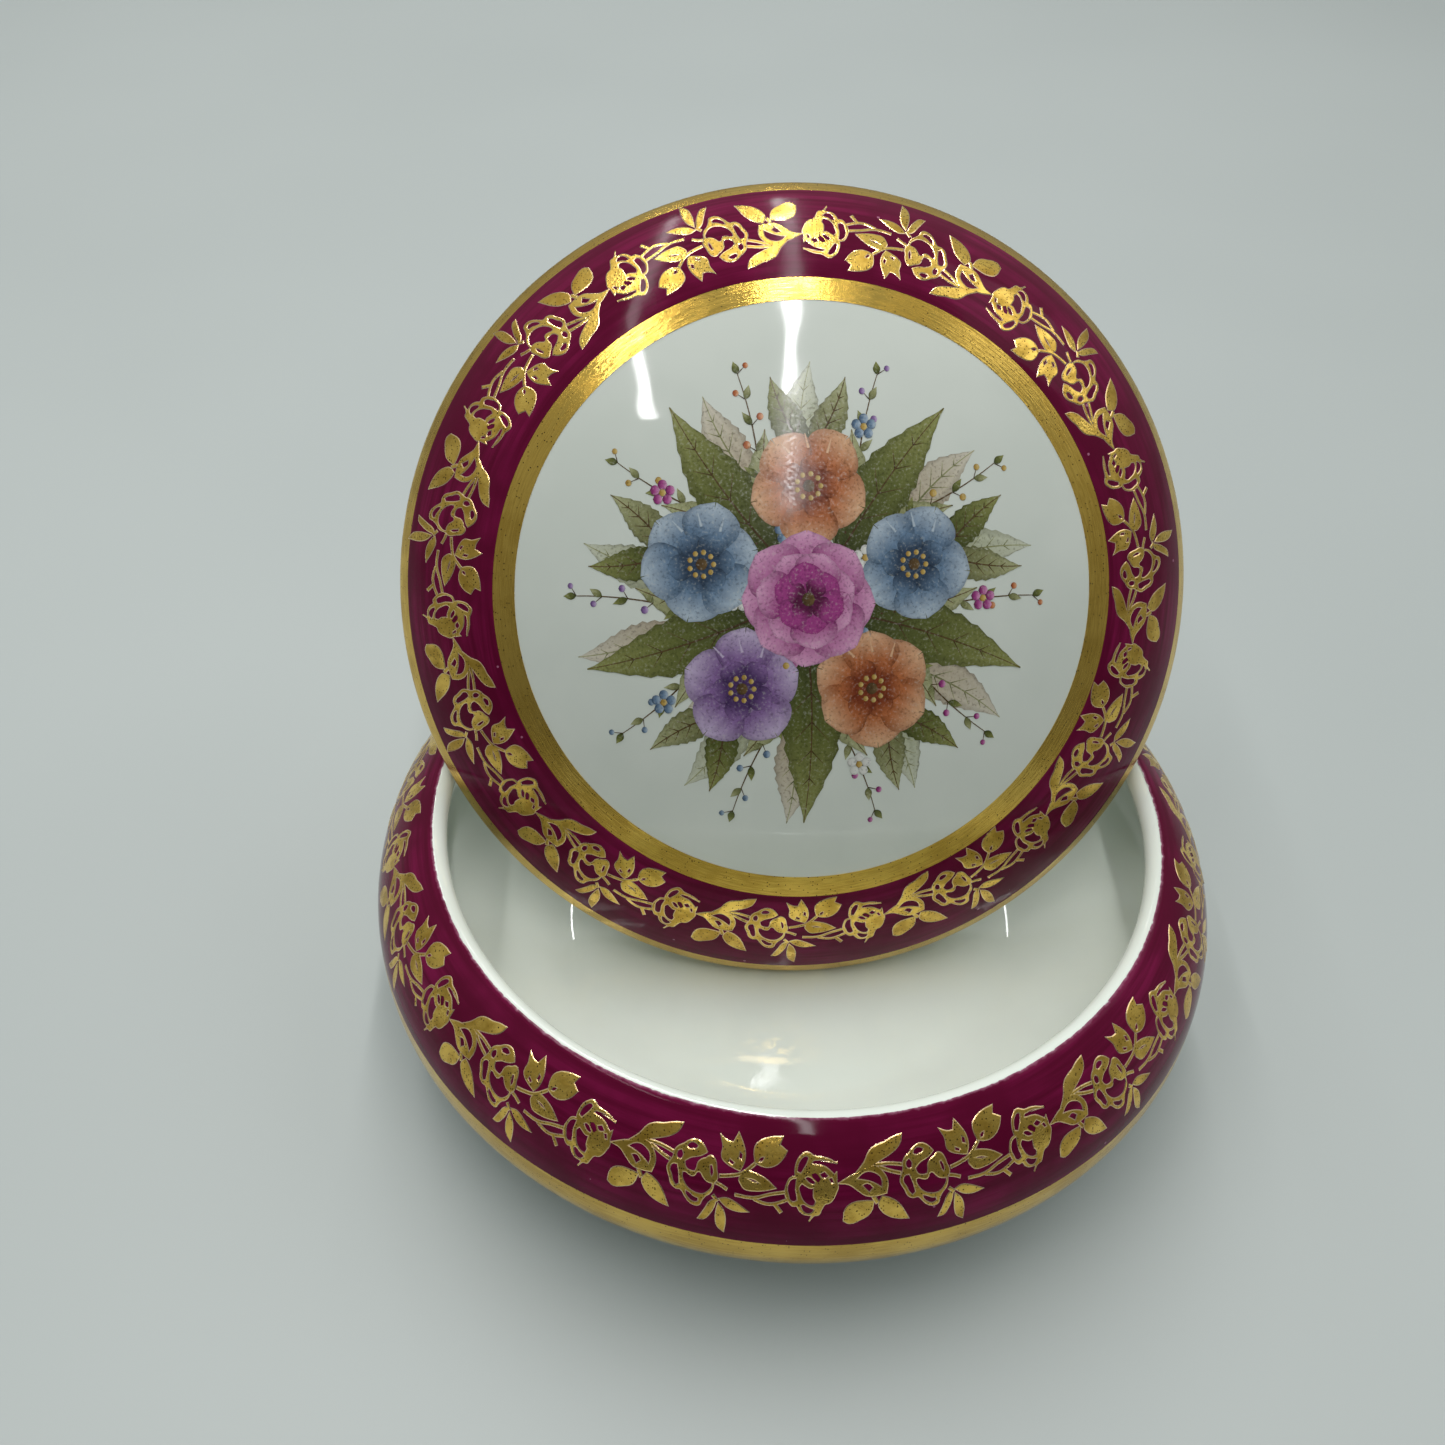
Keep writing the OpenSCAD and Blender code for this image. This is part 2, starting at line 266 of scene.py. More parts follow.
# %% [markdown]
# ## The lid's porcelain
#
# The lid is a second casting: a shallow crown, a rounder shoulder, a thin rolled edge, and under it a flange
# that drops into the bowl's mouth. It is drawn level, with height 0 through the middle of its edge, and then
# laid in the bowl as the CAD model lays it: turned about the x axis, its lower edge on the floor, its sides
# against the lip.

# %% Lid porcelain
CROWN = (0.0, -75.171, 90.0)
LID_SHOULDER = (23.8, -11.4725, 22.0)
LID_EDGE = (41.15, 0.0, 1.2)
EDGE_AT = 33.474
LID_WALL = 2.4
CROWN_TURN = 69.513
SEAT_H = -1.2
FLANGE_R = 36.95
FLANGE_IN_R = 34.75
FLANGE_LOW = -5.2
FLANGE_ROUND = 0.7
LID_LEAN = math.radians(53.9)
LID_PLACE = Vector((0, 15.1896, 42.3224)) * mm


def lay_lid(piece):
    """Turns a piece that was made level into the leaning lid's place, and applies that to its mesh."""
    bpy.ops.object.select_all(action="DESELECT")
    piece.select_set(True)
    bpy.context.view_layer.objects.active = piece
    piece.rotation_euler = (LID_LEAN, 0, 0)
    piece.location = LID_PLACE
    bpy.ops.object.transform_apply(location=True, rotation=True, scale=True)
    return piece


crown_in = grown(CROWN, -LID_WALL)
lid_shoulder_in = grown(LID_SHOULDER, -LID_WALL)
flange_top = arc_angle_at_radius(lid_shoulder_in, FLANGE_IN_R)
flange_low_z = FLANGE_LOW + FLANGE_ROUND
lid_porcelain = spin_section(
    "lid_porcelain",
    [
        ("arc", CROWN, 90, CROWN_TURN, 26),
        ("arc", LID_SHOULDER, CROWN_TURN, EDGE_AT, 22),
        ("arc", LID_EDGE, EDGE_AT, -90, 18),
        ("arc", (FLANGE_R + FLANGE_ROUND, SEAT_H - FLANGE_ROUND, FLANGE_ROUND), 90, 180, 5),
        ("arc", (FLANGE_R - FLANGE_ROUND, flange_low_z, FLANGE_ROUND), 0, -90, 6),
        ("arc", (FLANGE_IN_R + FLANGE_ROUND, flange_low_z, FLANGE_ROUND), -90, -180, 6),
        ("arc", lid_shoulder_in, flange_top, CROWN_TURN, 8),
        ("arc", crown_in, CROWN_TURN, 90, 22),
    ],
)
lay_lid(lid_porcelain)
print("lid leans at", round(math.degrees(LID_LEAN), 1), "degrees")

# %% [markdown]
# ## The lid's enamel and gold
#
# The lid carries three films: a burgundy band on its shoulder, a gold line round its edge and a broad gold
# ring where the band meets the white crown. They are spun as the bowl's are, then laid with the lid.

# %% Lid enamel and gilding
RING_R = 31.5
RING_IN_R = 29.2
EDGE_LINE_R = 41.22
EDGE_UNDER = -70.0


def arc_between(arc, first_r, last_r, steps):
    """The move along an arc from one distance from the axis to another."""
    return "arc", arc, arc_angle_at_radius(arc, first_r), arc_angle_at_radius(arc, last_r), steps


lid_enamel_skin = grown(LID_SHOULDER, ENAMEL_T)
band_moves = [arc_between(lid_enamel_skin, EDGE_LINE_R, RING_R, 26)]
lid_enamel = lay_lid(spin_film("lid_enamel", band_moves, ENAMEL_T))

lid_gilt_skin = grown(LID_SHOULDER, GILT_T)
edge_moves = [
    ("arc", grown(LID_EDGE, GILT_T), EDGE_UNDER, EDGE_AT, 18),
    ("arc", lid_gilt_skin, EDGE_AT, arc_angle_at_radius(lid_gilt_skin, EDGE_LINE_R), 6),
]
lid_gold_edge = lay_lid(spin_film("lid_gold_edge", edge_moves, GILT_T))

ring_moves = [arc_between(grown(CROWN, GILT_T), RING_R, RING_IN_R, 6)]
lid_gold_ring = lay_lid(spin_film("lid_gold_ring", ring_moves, GILT_T))

# %% [markdown]
# ## The gold rose garland
#
# A garland of roses and leaves runs round both enamel bands. On the real box it is a gold print: flat shapes
# with gaps in them, where the enamel shows as the lines of petals and veins. One repeat is drawn flat, x
# along the band and y across it, with outlines inside outlines. A filled 2D curve turns the inner outlines
# into holes, as a stencil does. The repeat is then scored with a grid of bisect cuts, so that it can bend
# round the shoulder.

# %% Outlines of one repeat, in mm
REPEAT_LENGTH = 20.85
GARLAND_SHAPES = {
    "rose_a": [
        [(-2.29, -0.39), (-2.05, -0.93), (-2.05, -1.31), (-1.78, -1.76), (-1.3, -2.07), (-0.92, -2.37),
         (-0.45, -2.57), (0.08, -2.57), (0.63, -2.28), (1.02, -1.79), (0.64, -1.47), (0.22, -1.29),
         (-0.35, -1.1), (-0.85, -0.76), (-0.67, -0.34), (-0.21, -0.16), (0.14, -0.17), (0.23, -0.5),
         (0.25, -0.83), (0.53, -1.2), (0.93, -1.4), (1.32, -1.64), (1.77, -1.48), (2.02, -1.07),
         (2.14, -0.55), (2.28, -0.18), (2.26, 0.23), (2.08, 0.48), (1.99, 1.01), (1.81, 1.4), (1.4, 1.79),
         (1.15, 2.25), (1, 2.64), (0.53, 2.77), (0, 2.58), (-0.43, 2.15), (-0.88, 1.66), (-1.3, 1.68),
         (-1.8, 1.37), (-2.03, 0.88), (-2.28, 0.45), (-2.42, 0.03)],
        [(-2.05, 0.14), (-1.92, -0.26), (-1.52, -0.35), (-1.34, 0.1), (-1.19, 0.63), (-1.07, 1.15),
         (-1.32, 1.36), (-1.61, 1), (-1.79, 0.56)],
        [(-1.67, -1.03), (-1.63, -1.38), (-1.36, -1.56), (-1.16, -1.24), (-1.23, -0.86), (-1.5, -0.86)],
        [(-0.93, -1.93), (-0.68, -2.21), (-0.25, -2.25), (0.1, -2.11), (-0.05, -1.93), (-0.39, -1.83),
         (-0.72, -1.8)],
        [(-0.89, 0.13), (-0.66, 0.11), (-0.22, 0.29), (0.18, 0.26), (0.39, -0.08), (0.62, -0.13),
         (0.95, 0.22), (1.36, 0.5), (1.83, 0.53), (1.81, 0.8), (1.57, 1.16), (1.21, 1.48), (0.76, 1.57),
         (0.22, 1.47), (-0.28, 1.22), (-0.64, 0.83), (-0.85, 0.42)],
        [(-0.39, 1.54), (-0.03, 1.73), (0.41, 1.98), (0.76, 2.02), (0.81, 2.25), (0.57, 2.39),
         (0.21, 2.33), (-0.12, 2.1), (-0.35, 1.78)],
        [(1.41, -0.85), (1.58, -0.92), (1.72, -0.6), (1.78, -0.22), (1.7, 0.03), (1.58, -0.24),
         (1.51, -0.56)],
    ],
    "rose_b": [
        [(8.21, 0.64), (8.22, 0.15), (8.36, -0.29), (8.54, -0.63), (8.77, -0.78), (9.07, -0.82),
         (8.99, -1.18), (9.04, -1.6), (9.23, -2.13), (9.59, -2.5), (9.94, -2.7), (10.3, -2.67),
         (10.75, -2.44), (11.12, -2.38), (11.57, -2.34), (12.23, -2.16), (12.74, -1.94), (13.06, -1.82),
         (12.76, -1.76), (12.3, -1.87), (11.87, -1.99), (11.43, -2.04), (11.05, -2.02), (10.68, -1.97),
         (10.56, -1.81), (10.93, -1.78), (11.33, -1.74), (11.78, -1.62), (12.22, -1.33), (12.59, -0.99),
         (12.79, -1.12), (12.86, -0.68), (12.85, -0.38), (12.98, -0.03), (12.78, 0.56), (12.54, 1.04),
         (12.18, 1.38), (11.82, 1.48), (11.52, 1.98), (11.29, 2.42), (10.93, 2.5), (10.61, 2.86),
         (10.36, 3.17), (10.49, 2.78), (10.64, 2.45), (10.37, 2.46), (9.95, 2.38), (9.52, 2.03),
         (9.3, 1.67), (8.96, 1.68), (8.66, 1.44), (8.44, 1.12)],
        [(9.27, -1.18), (9.35, -1.67), (9.6, -2.09), (10.01, -2.33), (10.25, -2.22), (10.06, -1.82),
         (9.8, -1.42), (9.58, -1.06)],
        [(8.64, 0.74), (8.49, 0.28), (8.53, -0.1), (8.77, -0.51), (9.22, -0.67), (9.15, -0.29),
         (9.13, 0.24), (9.25, 0.71), (9.33, 1.1), (9.03, 1.22), (8.74, 1.05)],
        [(9.63, 0.54), (9.51, 0.06), (9.72, -0.23), (10.06, -0.02), (10.49, 0.16), (10.76, 0.07),
         (10.7, 0.49), (10.74, 0.89), (10.91, 1.16), (10.82, 1.55), (10.5, 1.53), (10.09, 1.29),
         (9.82, 0.98)],
        [(9.67, 1.54), (9.89, 1.49), (10.33, 1.72), (10.86, 1.87), (10.65, 2.15), (10.29, 2.24),
         (9.91, 1.98)],
        [(9.98, -0.67), (10.21, -0.78), (10.89, -0.45), (10.83, -0.22), (10.44, -0.32)],
        [(10.62, -0.96), (10.86, -1), (11.28, -0.62), (11.15, -0.45), (10.85, -0.65)],
        [(11.26, -1.01), (11.71, -1.18), (12.09, -0.86), (11.82, -0.74), (11.52, -0.74)],
        [(12.05, -0.68), (12.37, -0.72), (12.57, -0.3), (12.31, -0.3)],
    ],
    "trio_1": [
        [(2.39, 1.78), (1.88, 1.97), (1.44, 2.8), (0.94, 3.98), (1.44, 3.98), (1.93, 3.38), (2.3, 2.55)],
    ],
    "trio_2": [
        [(2.58, 2.11), (2.43, 2.64), (2.43, 3.71), (2.67, 4.47), (3.26, 4.92), (3.37, 3.47), (3.07, 2.57)],
    ],
    "trio_3": [
        [(2.57, 1.7), (3.19, 1.47), (3.98, 1.69), (5.2, 2.48), (4.48, 2.64), (3.59, 2.5), (2.9, 2.09)],
    ],
    "up_leaf": [
        [(4.15, -0.79), (3.39, -0.98), (2.65, -1.3), (2.29, -1.66), (2.27, -2.43), (1.99, -3.24),
         (2.68, -3), (3.23, -2.94), (3.62, -3.67), (4.12, -3.05), (4.49, -2.26), (4.48, -1.43)],
        [(3.07, -1.38), (3.11, -1.66), (3.61, -1.39), (3.43, -1.23)],
        [(3.9, -1.8), (3.93, -2.28), (4.21, -2.1), (4.23, -1.63)],
    ],
    "right_leaf": [
        [(5.38, -1.57), (5.18, -2.6), (5.42, -3.1), (6.58, -3.63), (7.84, -3.71), (7.58, -3.11),
         (8.3, -2.67), (7.95, -2.04), (7.21, -1.46), (6.26, -1.3)],
        [(5.73, -1.68), (5.85, -1.97), (6.26, -2.11), (6.02, -1.76)],
    ],
    "low_leaf": [
        [(4.08, -0.21), (4.52, -0.99), (5.24, -0.94), (6.5, -0.51), (7.44, 0.23), (6.52, 0.54),
         (5.43, 0.67), (4.69, 0.6), (4.28, 0.21)],
        [(4.68, -0.36), (5.45, -0.25), (6.1, -0.02), (5.42, -0.15)],
    ],
    "long_leaf": [
        [(14.52, -0.96), (15.26, -1.78), (15.85, -2.62), (16.6, -2.98), (17.3, -3.12), (18.2, -3.42),
         (19.12, -3.52), (18.95, -2.92), (18.55, -2.5), (17.8, -2.1), (16.75, -1.69), (15.74, -1.23)],
    ],
    "pair_1": [
        [(16.1, 1.39), (15.31, 1.27), (14.12, 1.39), (13.51, 1.89), (13.37, 3.04), (13.94, 3.38),
         (14.89, 3.07), (15.77, 2.49)],
    ],
    "pair_2": [
        [(16.41, 1.72), (16.78, 1.04), (17.42, 1.22), (18.31, 1.88), (19.13, 3.49), (18.17, 3.37),
         (17.2, 2.91), (16.61, 2.29)],
    ],
    "loop": [
        [(12.98, -0.26), (14, -0.84), (14.66, -1.06), (15.68, -1.46), (16.41, -1.44), (16.95, -0.99),
         (17.41, -0.13), (17.23, 0.9), (16.32, 1.03), (15.38, 0.95), (14.62, 0.44), (13.83, -0.08)],
        [(14.53, -0.5), (15.33, -0.96), (16.19, -0.86), (16.78, -0.33), (16.81, 0.36), (16.23, -0.08),
         (15.55, -0.36)],
        [(15.05, 0.03), (15.54, -0.08), (16.03, 0.28), (15.67, 0.63)],
    ],
}
GARLAND_STEMS = {
    "a_to_trio": (0.32, [(2.39, -0.18), (3.33, -0.35), (4.3, -0.64), (5.44, -1.53)]),
    "a_tail": (0.30, [(2.16, 0.41), (2.63, 0.55), (3.19, 0.81)]),
    "stem_up": (0.30, [(3.93, 1.14), (5.54, 1.2), (6.96, 0.76), (8.22, 0.5)]),
    "stem_low": (0.30, [(5.59, 1.3), (6.71, 1.6), (7.47, 1.51), (8.56, 1.09)]),
    "offshoot": (0.36, [(7.39, 1.52), (8.03, 2.27)]),
    "trio_stub": (0.32, [(2.02, 1.49), (2.49, 1.95)]),
    "pair_stub": (0.39, [(16, 1), (16.38, 1.62)]),
    "next_a": (0.31, [(16.61, -1.3), (17.58, -0.9), (18.6, -0.57)]),
    "next_b": (0.30, [(16.15, -1.49), (17.62, -1.45), (18.79, -1.23)]),
}
print("garland repeat:", len(GARLAND_SHAPES), "shapes and", len(GARLAND_STEMS), "stems")

# %% [markdown]
# ### Filling the outlines
#
# A curve with smooth handles draws a petal from few points. Where an outline turns sharply, as at the tip
# of a leaf, straight handles keep the point. The bevel moves the outline outwards, so it is drawn narrower
# first.

# %% A filled stencil
SHARP_TURN = math.radians(62)
CURVE_STEPS = 3


def turn_at(before, here, after):
    """How sharply a line turns at a point, in radians."""
    way_in = Vector(here) - Vector(before)
    way_out = Vector(after) - Vector(here)
    return abs(way_in.angle_signed(way_out, 0))


def widened(outline, by):
    """The outline with every point moved outwards, in mm, or inwards where the number is negative."""
    area = sum(a[0] * b[1] - b[0] * a[1] for a, b in zip(outline, outline[1:] + outline[:1]))
    moved = []
    for i, place in enumerate(outline):
        before = Vector(place) - Vector(outline[i - 1])
        after = Vector(outline[(i + 1) % len(outline)]) - Vector(place)
        way = (before.normalized() + after.normalized()).normalized()
        moved.append(tuple(Vector(place) + math.copysign(by, by * area) * Vector((way.y, -way.x))))
    return moved


def fill_outlines(outlines, edge):
    """A plate from closed outlines in mm, the first outside and the others holes. Sharp turns stay points.
    The curve's bevel gives it an upper face, a lower face and sloping sides that are an edge width wide."""
    bpy.ops.object.select_all(action="DESELECT")
    bpy.ops.curve.primitive_bezier_circle_add()
    stencil = bpy.context.object
    stencil.data.splines.clear()
    stencil.data.dimensions = "2D"
    stencil.data.fill_mode = "BOTH"
    stencil.data.resolution_u = CURVE_STEPS
    stencil.data.bevel_depth = edge * mm
    stencil.data.bevel_resolution = 0
    for number, drawn in enumerate(outlines):
        outline = widened(drawn, edge if number else -edge)
        spline = stencil.data.splines.new("BEZIER")
        spline.bezier_points.add(len(outline) - 1)
        spline.use_cyclic_u = True
        for i, place in enumerate(outline):
            point = spline.bezier_points[i]
            point.co = (place[0] * mm, place[1] * mm, 0)
            sharp = turn_at(outline[i - 1], place, outline[(i + 1) % len(outline)]) > SHARP_TURN
            handle = "VECTOR" if sharp else "AUTO"
            point.handle_left_type = handle
            point.handle_right_type = handle
    bpy.ops.object.convert(target="MESH")
    return bpy.context.object


# %% [markdown]
# ### Stems, and one plate that can bend
#
# A stem is a short brush stroke. It is drawn as an outline round its line, so that it is filled as the
# leaves are. All shapes are then joined. Their long faces could not bend, so bisect cuts them on a grid. An
# attribute keeps how near each point is to the sloping rim, where the gold will be paler.

# %% Draw, join and score the flat repeat
BRUSH_END = 0.85
SCORE_ALONG = 1.6
SCORE_ACROSS = 0.8
EDGE_W = 0.10


def brush_outline(width, line):
    """The outline of a brush stroke along a line, thinner at its ends."""
    left = []
    right = []
    for i, place in enumerate(line):
        way = Vector(line[min(i + 1, len(line) - 1)]) - Vector(line[max(i - 1, 0)])
        side = Vector((-way.y, way.x)).normalized()
        share = BRUSH_END if i in (0, len(line) - 1) else 1.0
        left.append(tuple(Vector(place) + side * width / 2 * share))
        right.append(tuple(Vector(place) - side * width / 2 * share))
    return left + right[::-1]


def join_pieces(name, pieces):
    """Joins objects into one, in object mode."""
    bpy.ops.object.select_all(action="DESELECT")
    for piece in pieces:
        piece.select_set(True)
    bpy.context.view_layer.objects.active = pieces[0]
    bpy.ops.object.join()
    joined = bpy.context.object
    joined.name = name
    joined.data.name = name
    return joined


def score(piece, x_step, y_step):
    """Cuts a flat mesh into cells, by steps in mm along x and along y, so that it can follow a curve."""
    low = Vector(piece.bound_box[0]) / mm
    high = Vector(piece.bound_box[6]) / mm
    bpy.ops.object.mode_set(mode="EDIT")
    for axis, step in ((0, x_step), (1, y_step)):
        normal = (1, 0, 0) if axis == 0 else (0, 1, 0)
        for i in range(math.ceil(low[axis] / step), math.floor(high[axis] / step) + 1):
            bpy.ops.mesh.select_all(action="SELECT")
            bpy.ops.mesh.bisect(plane_co=Vector(normal) * i * step * mm, plane_no=normal)
    bpy.ops.object.mode_set(mode="OBJECT")


shapes = [fill_outlines(outlines, EDGE_W) for outlines in GARLAND_SHAPES.values()]
shapes += [fill_outlines([brush_outline(*stem)], EDGE_W) for stem in GARLAND_STEMS.values()]
garland_repeat = join_pieces("garland_repeat", shapes)
score(garland_repeat, SCORE_ALONG, SCORE_ACROSS)
rim = garland_repeat.data.attributes.new("rim", "FLOAT", "POINT")
for vertex, share in zip(garland_repeat.data.vertices, rim.data):
    share.value = 1 - min(abs(vertex.co.z) / mm / EDGE_W, 1)
print("flat repeat has", len(garland_repeat.data.polygons), "faces")

# %% [markdown]
# ### The garland round the bands
#
# The print is laid round each band, repeat after repeat. A Curve modifier could bend it along the band, but
# the band is rounded across too. So each point's x becomes an angle round the axis, and its y a place across
# the band on the enamel's own arc.

# %% Lay the garland on both bands
GARLAND_T = 0.04
GARLAND_SMOOTH_BELOW = math.radians(15)
BOWL_REPEATS = 13
LID_REPEATS = 11
BOWL_FIRST_ROSE = math.radians(-105.7)
LID_FIRST_ROSE = math.radians(-127.3)
BOWL_GARLAND_ANGLE = 36.0
BOWL_GARLAND_STRETCH = 1.18
LID_GARLAND_R = 35.9
LID_GARLAND_SHIFT = (-0.55, 0.35)


def bowl_band_point(turn, across, lift):
    """A point on the bowl's band. Its place across the band is measured along the shoulder's arc."""
    swing = math.degrees(across * BOWL_GARLAND_STRETCH / enamel_skin[2])
    r, z = arc_point(grown(enamel_skin, lift), BOWL_GARLAND_ANGLE - swing)
    return r * math.cos(turn), r * math.sin(turn), z


def lid_band_point(turn, across, lift):
    """A point on the lid's band. The print was laid a little off centre, so its circle is shifted."""
    x = (LID_GARLAND_R + across) * math.cos(turn) + LID_GARLAND_SHIFT[0]
    y = (LID_GARLAND_R + across) * math.sin(turn) + LID_GARLAND_SHIFT[1]
    level_r = math.hypot(x, y)
    r, z = arc_point(grown(lid_enamel_skin, lift), arc_angle_at_radius(lid_enamel_skin, level_r))
    return x * r / level_r, y * r / level_r, z


def lay_garland(name, repeats, first_rose, band_point):
    """Copies the flat repeat round a band, its upper face above the enamel and its lower face in it."""
    copies = []
    for i in range(repeats):
        mesh = garland_repeat.data.copy()
        for vertex in mesh.vertices:
            turn = first_rose + (vertex.co.x / mm / REPEAT_LENGTH + i) * 2 * math.pi / repeats
            lift = vertex.co.z / mm / EDGE_W * GARLAND_T
            vertex.co = Vector(band_point(turn, vertex.co.y / mm, lift)) * mm
        copy = bpy.data.objects.new(name, mesh)
        bpy.context.collection.objects.link(copy)
        copies.append(copy)
    garland = join_pieces(name, copies)
    bpy.ops.object.mode_set(mode="EDIT")
    bpy.ops.mesh.select_all(action="SELECT")
    bpy.ops.mesh.flip_normals()
    bpy.ops.object.mode_set(mode="OBJECT")
    bpy.ops.object.shade_smooth_by_angle(angle=GARLAND_SMOOTH_BELOW)
    print(name, "has", len(garland.data.polygons), "faces")
    return garland


bowl_garland = lay_garland("bowl_rose_garland", BOWL_REPEATS, BOWL_FIRST_ROSE, bowl_band_point)
lid_garland = lay_garland("lid_rose_garland", LID_REPEATS, LID_FIRST_ROSE, lid_band_point)
lay_lid(lid_garland)
bpy.data.objects.remove(garland_repeat)

# %% [markdown]
# ## The painted flower spray
#
# The white crown carries a painted spray: a rose in the middle, a ring of five blossoms round it, leaves and
# sprigs between them. It could be one picture on the surface. Here each brush mark is a thin coat of its own,
# as a painter lays it: a flat grid is bent along a line, given the width of a petal, leaf or stem, and
# coloured in a colour attribute. Later coats lie a few micrometres above earlier ones, so they cover each
# other as paint does.

# %% One brush mark
COAT_STEP = 0.004
PAINT_BASE = 0.012
PAINT_SINK = 0.02
LEAF_TEETH = 9
TOOTH_DEPTH = 0.16
STEM_TAPER = 0.65
LEAST_WIDTH = 0.02
SIDE_SHADE = 0.28
STREAKS = 11
STREAK_FADE = 0.7
hand = random.Random(11)
marks = []


def petal_width(share):
    """Narrow at the base and broad near a rounded tip."""
    return math.sin(math.pi * share ** 1.5) ** 0.7


def leaf_width(share):
    """Broad below the middle, with a toothed edge and a pointed tip."""
    tooth = 1 - TOOTH_DEPTH * (share * LEAF_TEETH % 1)
    return math.sin(math.pi * share ** 0.8) ** 1.15 * tooth


def stem_width(share):
    """Thinner towards the end."""
    return 1 - STEM_TAPER * share


def dot_width(share):
    """A round dab."""
    return math.sqrt(max(1 - (2 * share - 1) ** 2, 0))


def along(start, bend, end, share):
    """The point at a share of the way along a bent line."""
    return start * (1 - share) ** 2 + bend * 2 * share * (1 - share) + end * share ** 2


def mark(start, bend, end, width, shape, colours, coat, cells=(12, 6), notch=0.0, lines=0.0):
    """Lays one brush mark along a bent line, in mm. Its three colours go from the base to the tip. A notch
    pulls the middle of the tip back, and lines darken it in streaks from the base."""
    bpy.ops.mesh.primitive_grid_add(x_subdivisions=cells[0], y_subdivisions=cells[1], size=2)
    piece = bpy.context.object
    tint = piece.data.color_attributes.new("tint", "FLOAT_COLOR", "POINT")
    start, bend, end = Vector(start), Vector(bend), Vector(end)
    phase = hand.uniform(0, 6)
    height = (PAINT_BASE + coat * COAT_STEP) * mm
    for vertex, shade in zip(piece.data.vertices, tint.data):
        share, side = (vertex.co.x + 1) / 2, vertex.co.y
        way = ((bend - start) * (1 - share) + (end - bend) * share).normalized()
        place = along(start, bend, end, share) - way * notch * (1 - abs(side)) * share ** 4
        place = place + Vector((-way.y, way.x)) * side * width / 2 * max(shape(share), LEAST_WIDTH)
        streak = lines * (0.5 + 0.5 * math.sin(side * STREAKS + phase)) * (1 - share * STREAK_FADE)
        dim = 1 - SIDE_SHADE * abs(side) ** 5 - streak
        low, high, local = (0, 1, share * 2) if share < 0.5 else (1, 2, share * 2 - 1)
        colour = [(a + (b - a) * local) * dim for a, b in zip(colours[low], colours[high])]
        shade.color = (*colour, 1)
        vertex.co = (place.x * mm, place.y * mm, height)
    marks.append(piece)


def polar(centre, turn, reach):
    """The point at a distance and an angle in degrees from a centre."""
    return Vector(centre) + Vector((math.cos(math.radians(turn)), math.sin(math.radians(turn)))) * reach


def line_mark(start, end, width, shape, colours, coat, cells):
    """A brush mark along a straight line."""
    mark(start, (start + end) / 2, end, width, shape, colours, coat, cells)


def dot(place, size, colours, coat):
    """A round dab of paint."""
    half = Vector((size / 2, 0))
    mark(Vector(place) - half, place, Vector(place) + half, size, dot_width, colours, coat, (7, 6))


# %% [markdown]
# ### Blossoms
#
# A blossom is a ring of petals, and a rose is several rings, each smaller, turned and darker than the one
# below. Every colour is a set of three, from the dark base of a petal to its pale rim. The sizes of the parts
# are shares of the whole flower, so one function paints flowers of any size. A little chance in every turn
# and length keeps the petals from being all the same, and a fixed seed keeps them the same in every run.

# %% Roses and blossoms
TURN_SLIP = 4
BEND_SLIP = 5
LENGTH_SLIP = (0.93, 1.05)
ROSE_RINGS = ((8, 1.0), (7, 0.76), (6, 0.54), (4, 0.34))
STAMENS = 9
LIGHT_TURNS = (60, 90, 120)
MAGENTA = ((0.10, 0.004, 0.05), (0.34, 0.045, 0.22), (0.66, 0.33, 0.52))
MAUVE = ((0.07, 0.03, 0.12), (0.24, 0.13, 0.33), (0.52, 0.42, 0.60))
RUSSET = ((0.20, 0.035, 0.008), (0.46, 0.14, 0.045), (0.68, 0.40, 0.23))
SLATE = ((0.03, 0.055, 0.10), (0.13, 0.21, 0.32), (0.42, 0.50, 0.58))
OLIVE = ((0.035, 0.045, 0.008), (0.12, 0.135, 0.03), (0.27, 0.28, 0.09))
SAGE = ((0.10, 0.11, 0.035), (0.23, 0.235, 0.10), (0.40, 0.41, 0.22))
OCHRE = ((0.24, 0.13, 0.02), (0.46, 0.30, 0.07), (0.62, 0.48, 0.20))
BROWN = ((0.05, 0.025, 0.008), (0.09, 0.05, 0.015), (0.14, 0.085, 0.03))
WASH = ((0.34, 0.35, 0.22), (0.44, 0.46, 0.32), (0.56, 0.58, 0.46))
BLUSH = ((0.44, 0.36, 0.26), (0.52, 0.46, 0.35), (0.61, 0.57, 0.47))
CHALK = ((0.55, 0.54, 0.50), (0.66, 0.66, 0.62), (0.70, 0.70, 0.67))


def ring_of_petals(centre, count, reach, width, first, colours, coat, notch=0.0, lines=0.25):
    """Petals round a centre, every second one in a higher coat."""
    for i in range(count):
        turn = first + i * 360 / count + hand.uniform(-TURN_SLIP, TURN_SLIP)
        length = reach * hand.uniform(*LENGTH_SLIP)
        tip = polar(centre, turn, length)
        bend = polar(centre, turn + hand.uniform(-BEND_SLIP, BEND_SLIP), length / 2)
        mark(centre, bend, tip, width, petal_width, colours, coat + i % 2, (12, 8), notch, lines)


def paint_rose(centre, size, colours, coat):
    """A full rose: four rings of petals, darker towards the heart, with pale rims."""
    dark, middle, _ = colours
    shades = (colours, colours, (dark, middle, middle), (dark, dark, middle))
    for ring, (count, share) in enumerate(ROSE_RINGS):
        reach = size * share
        first = 20 * ring
        ring_of_petals(centre, count, reach, reach * 0.95, first, shades[ring], coat + 2 * ring, 0.05 * size)
    dot(centre, size * 0.2, BROWN, coat + 8)


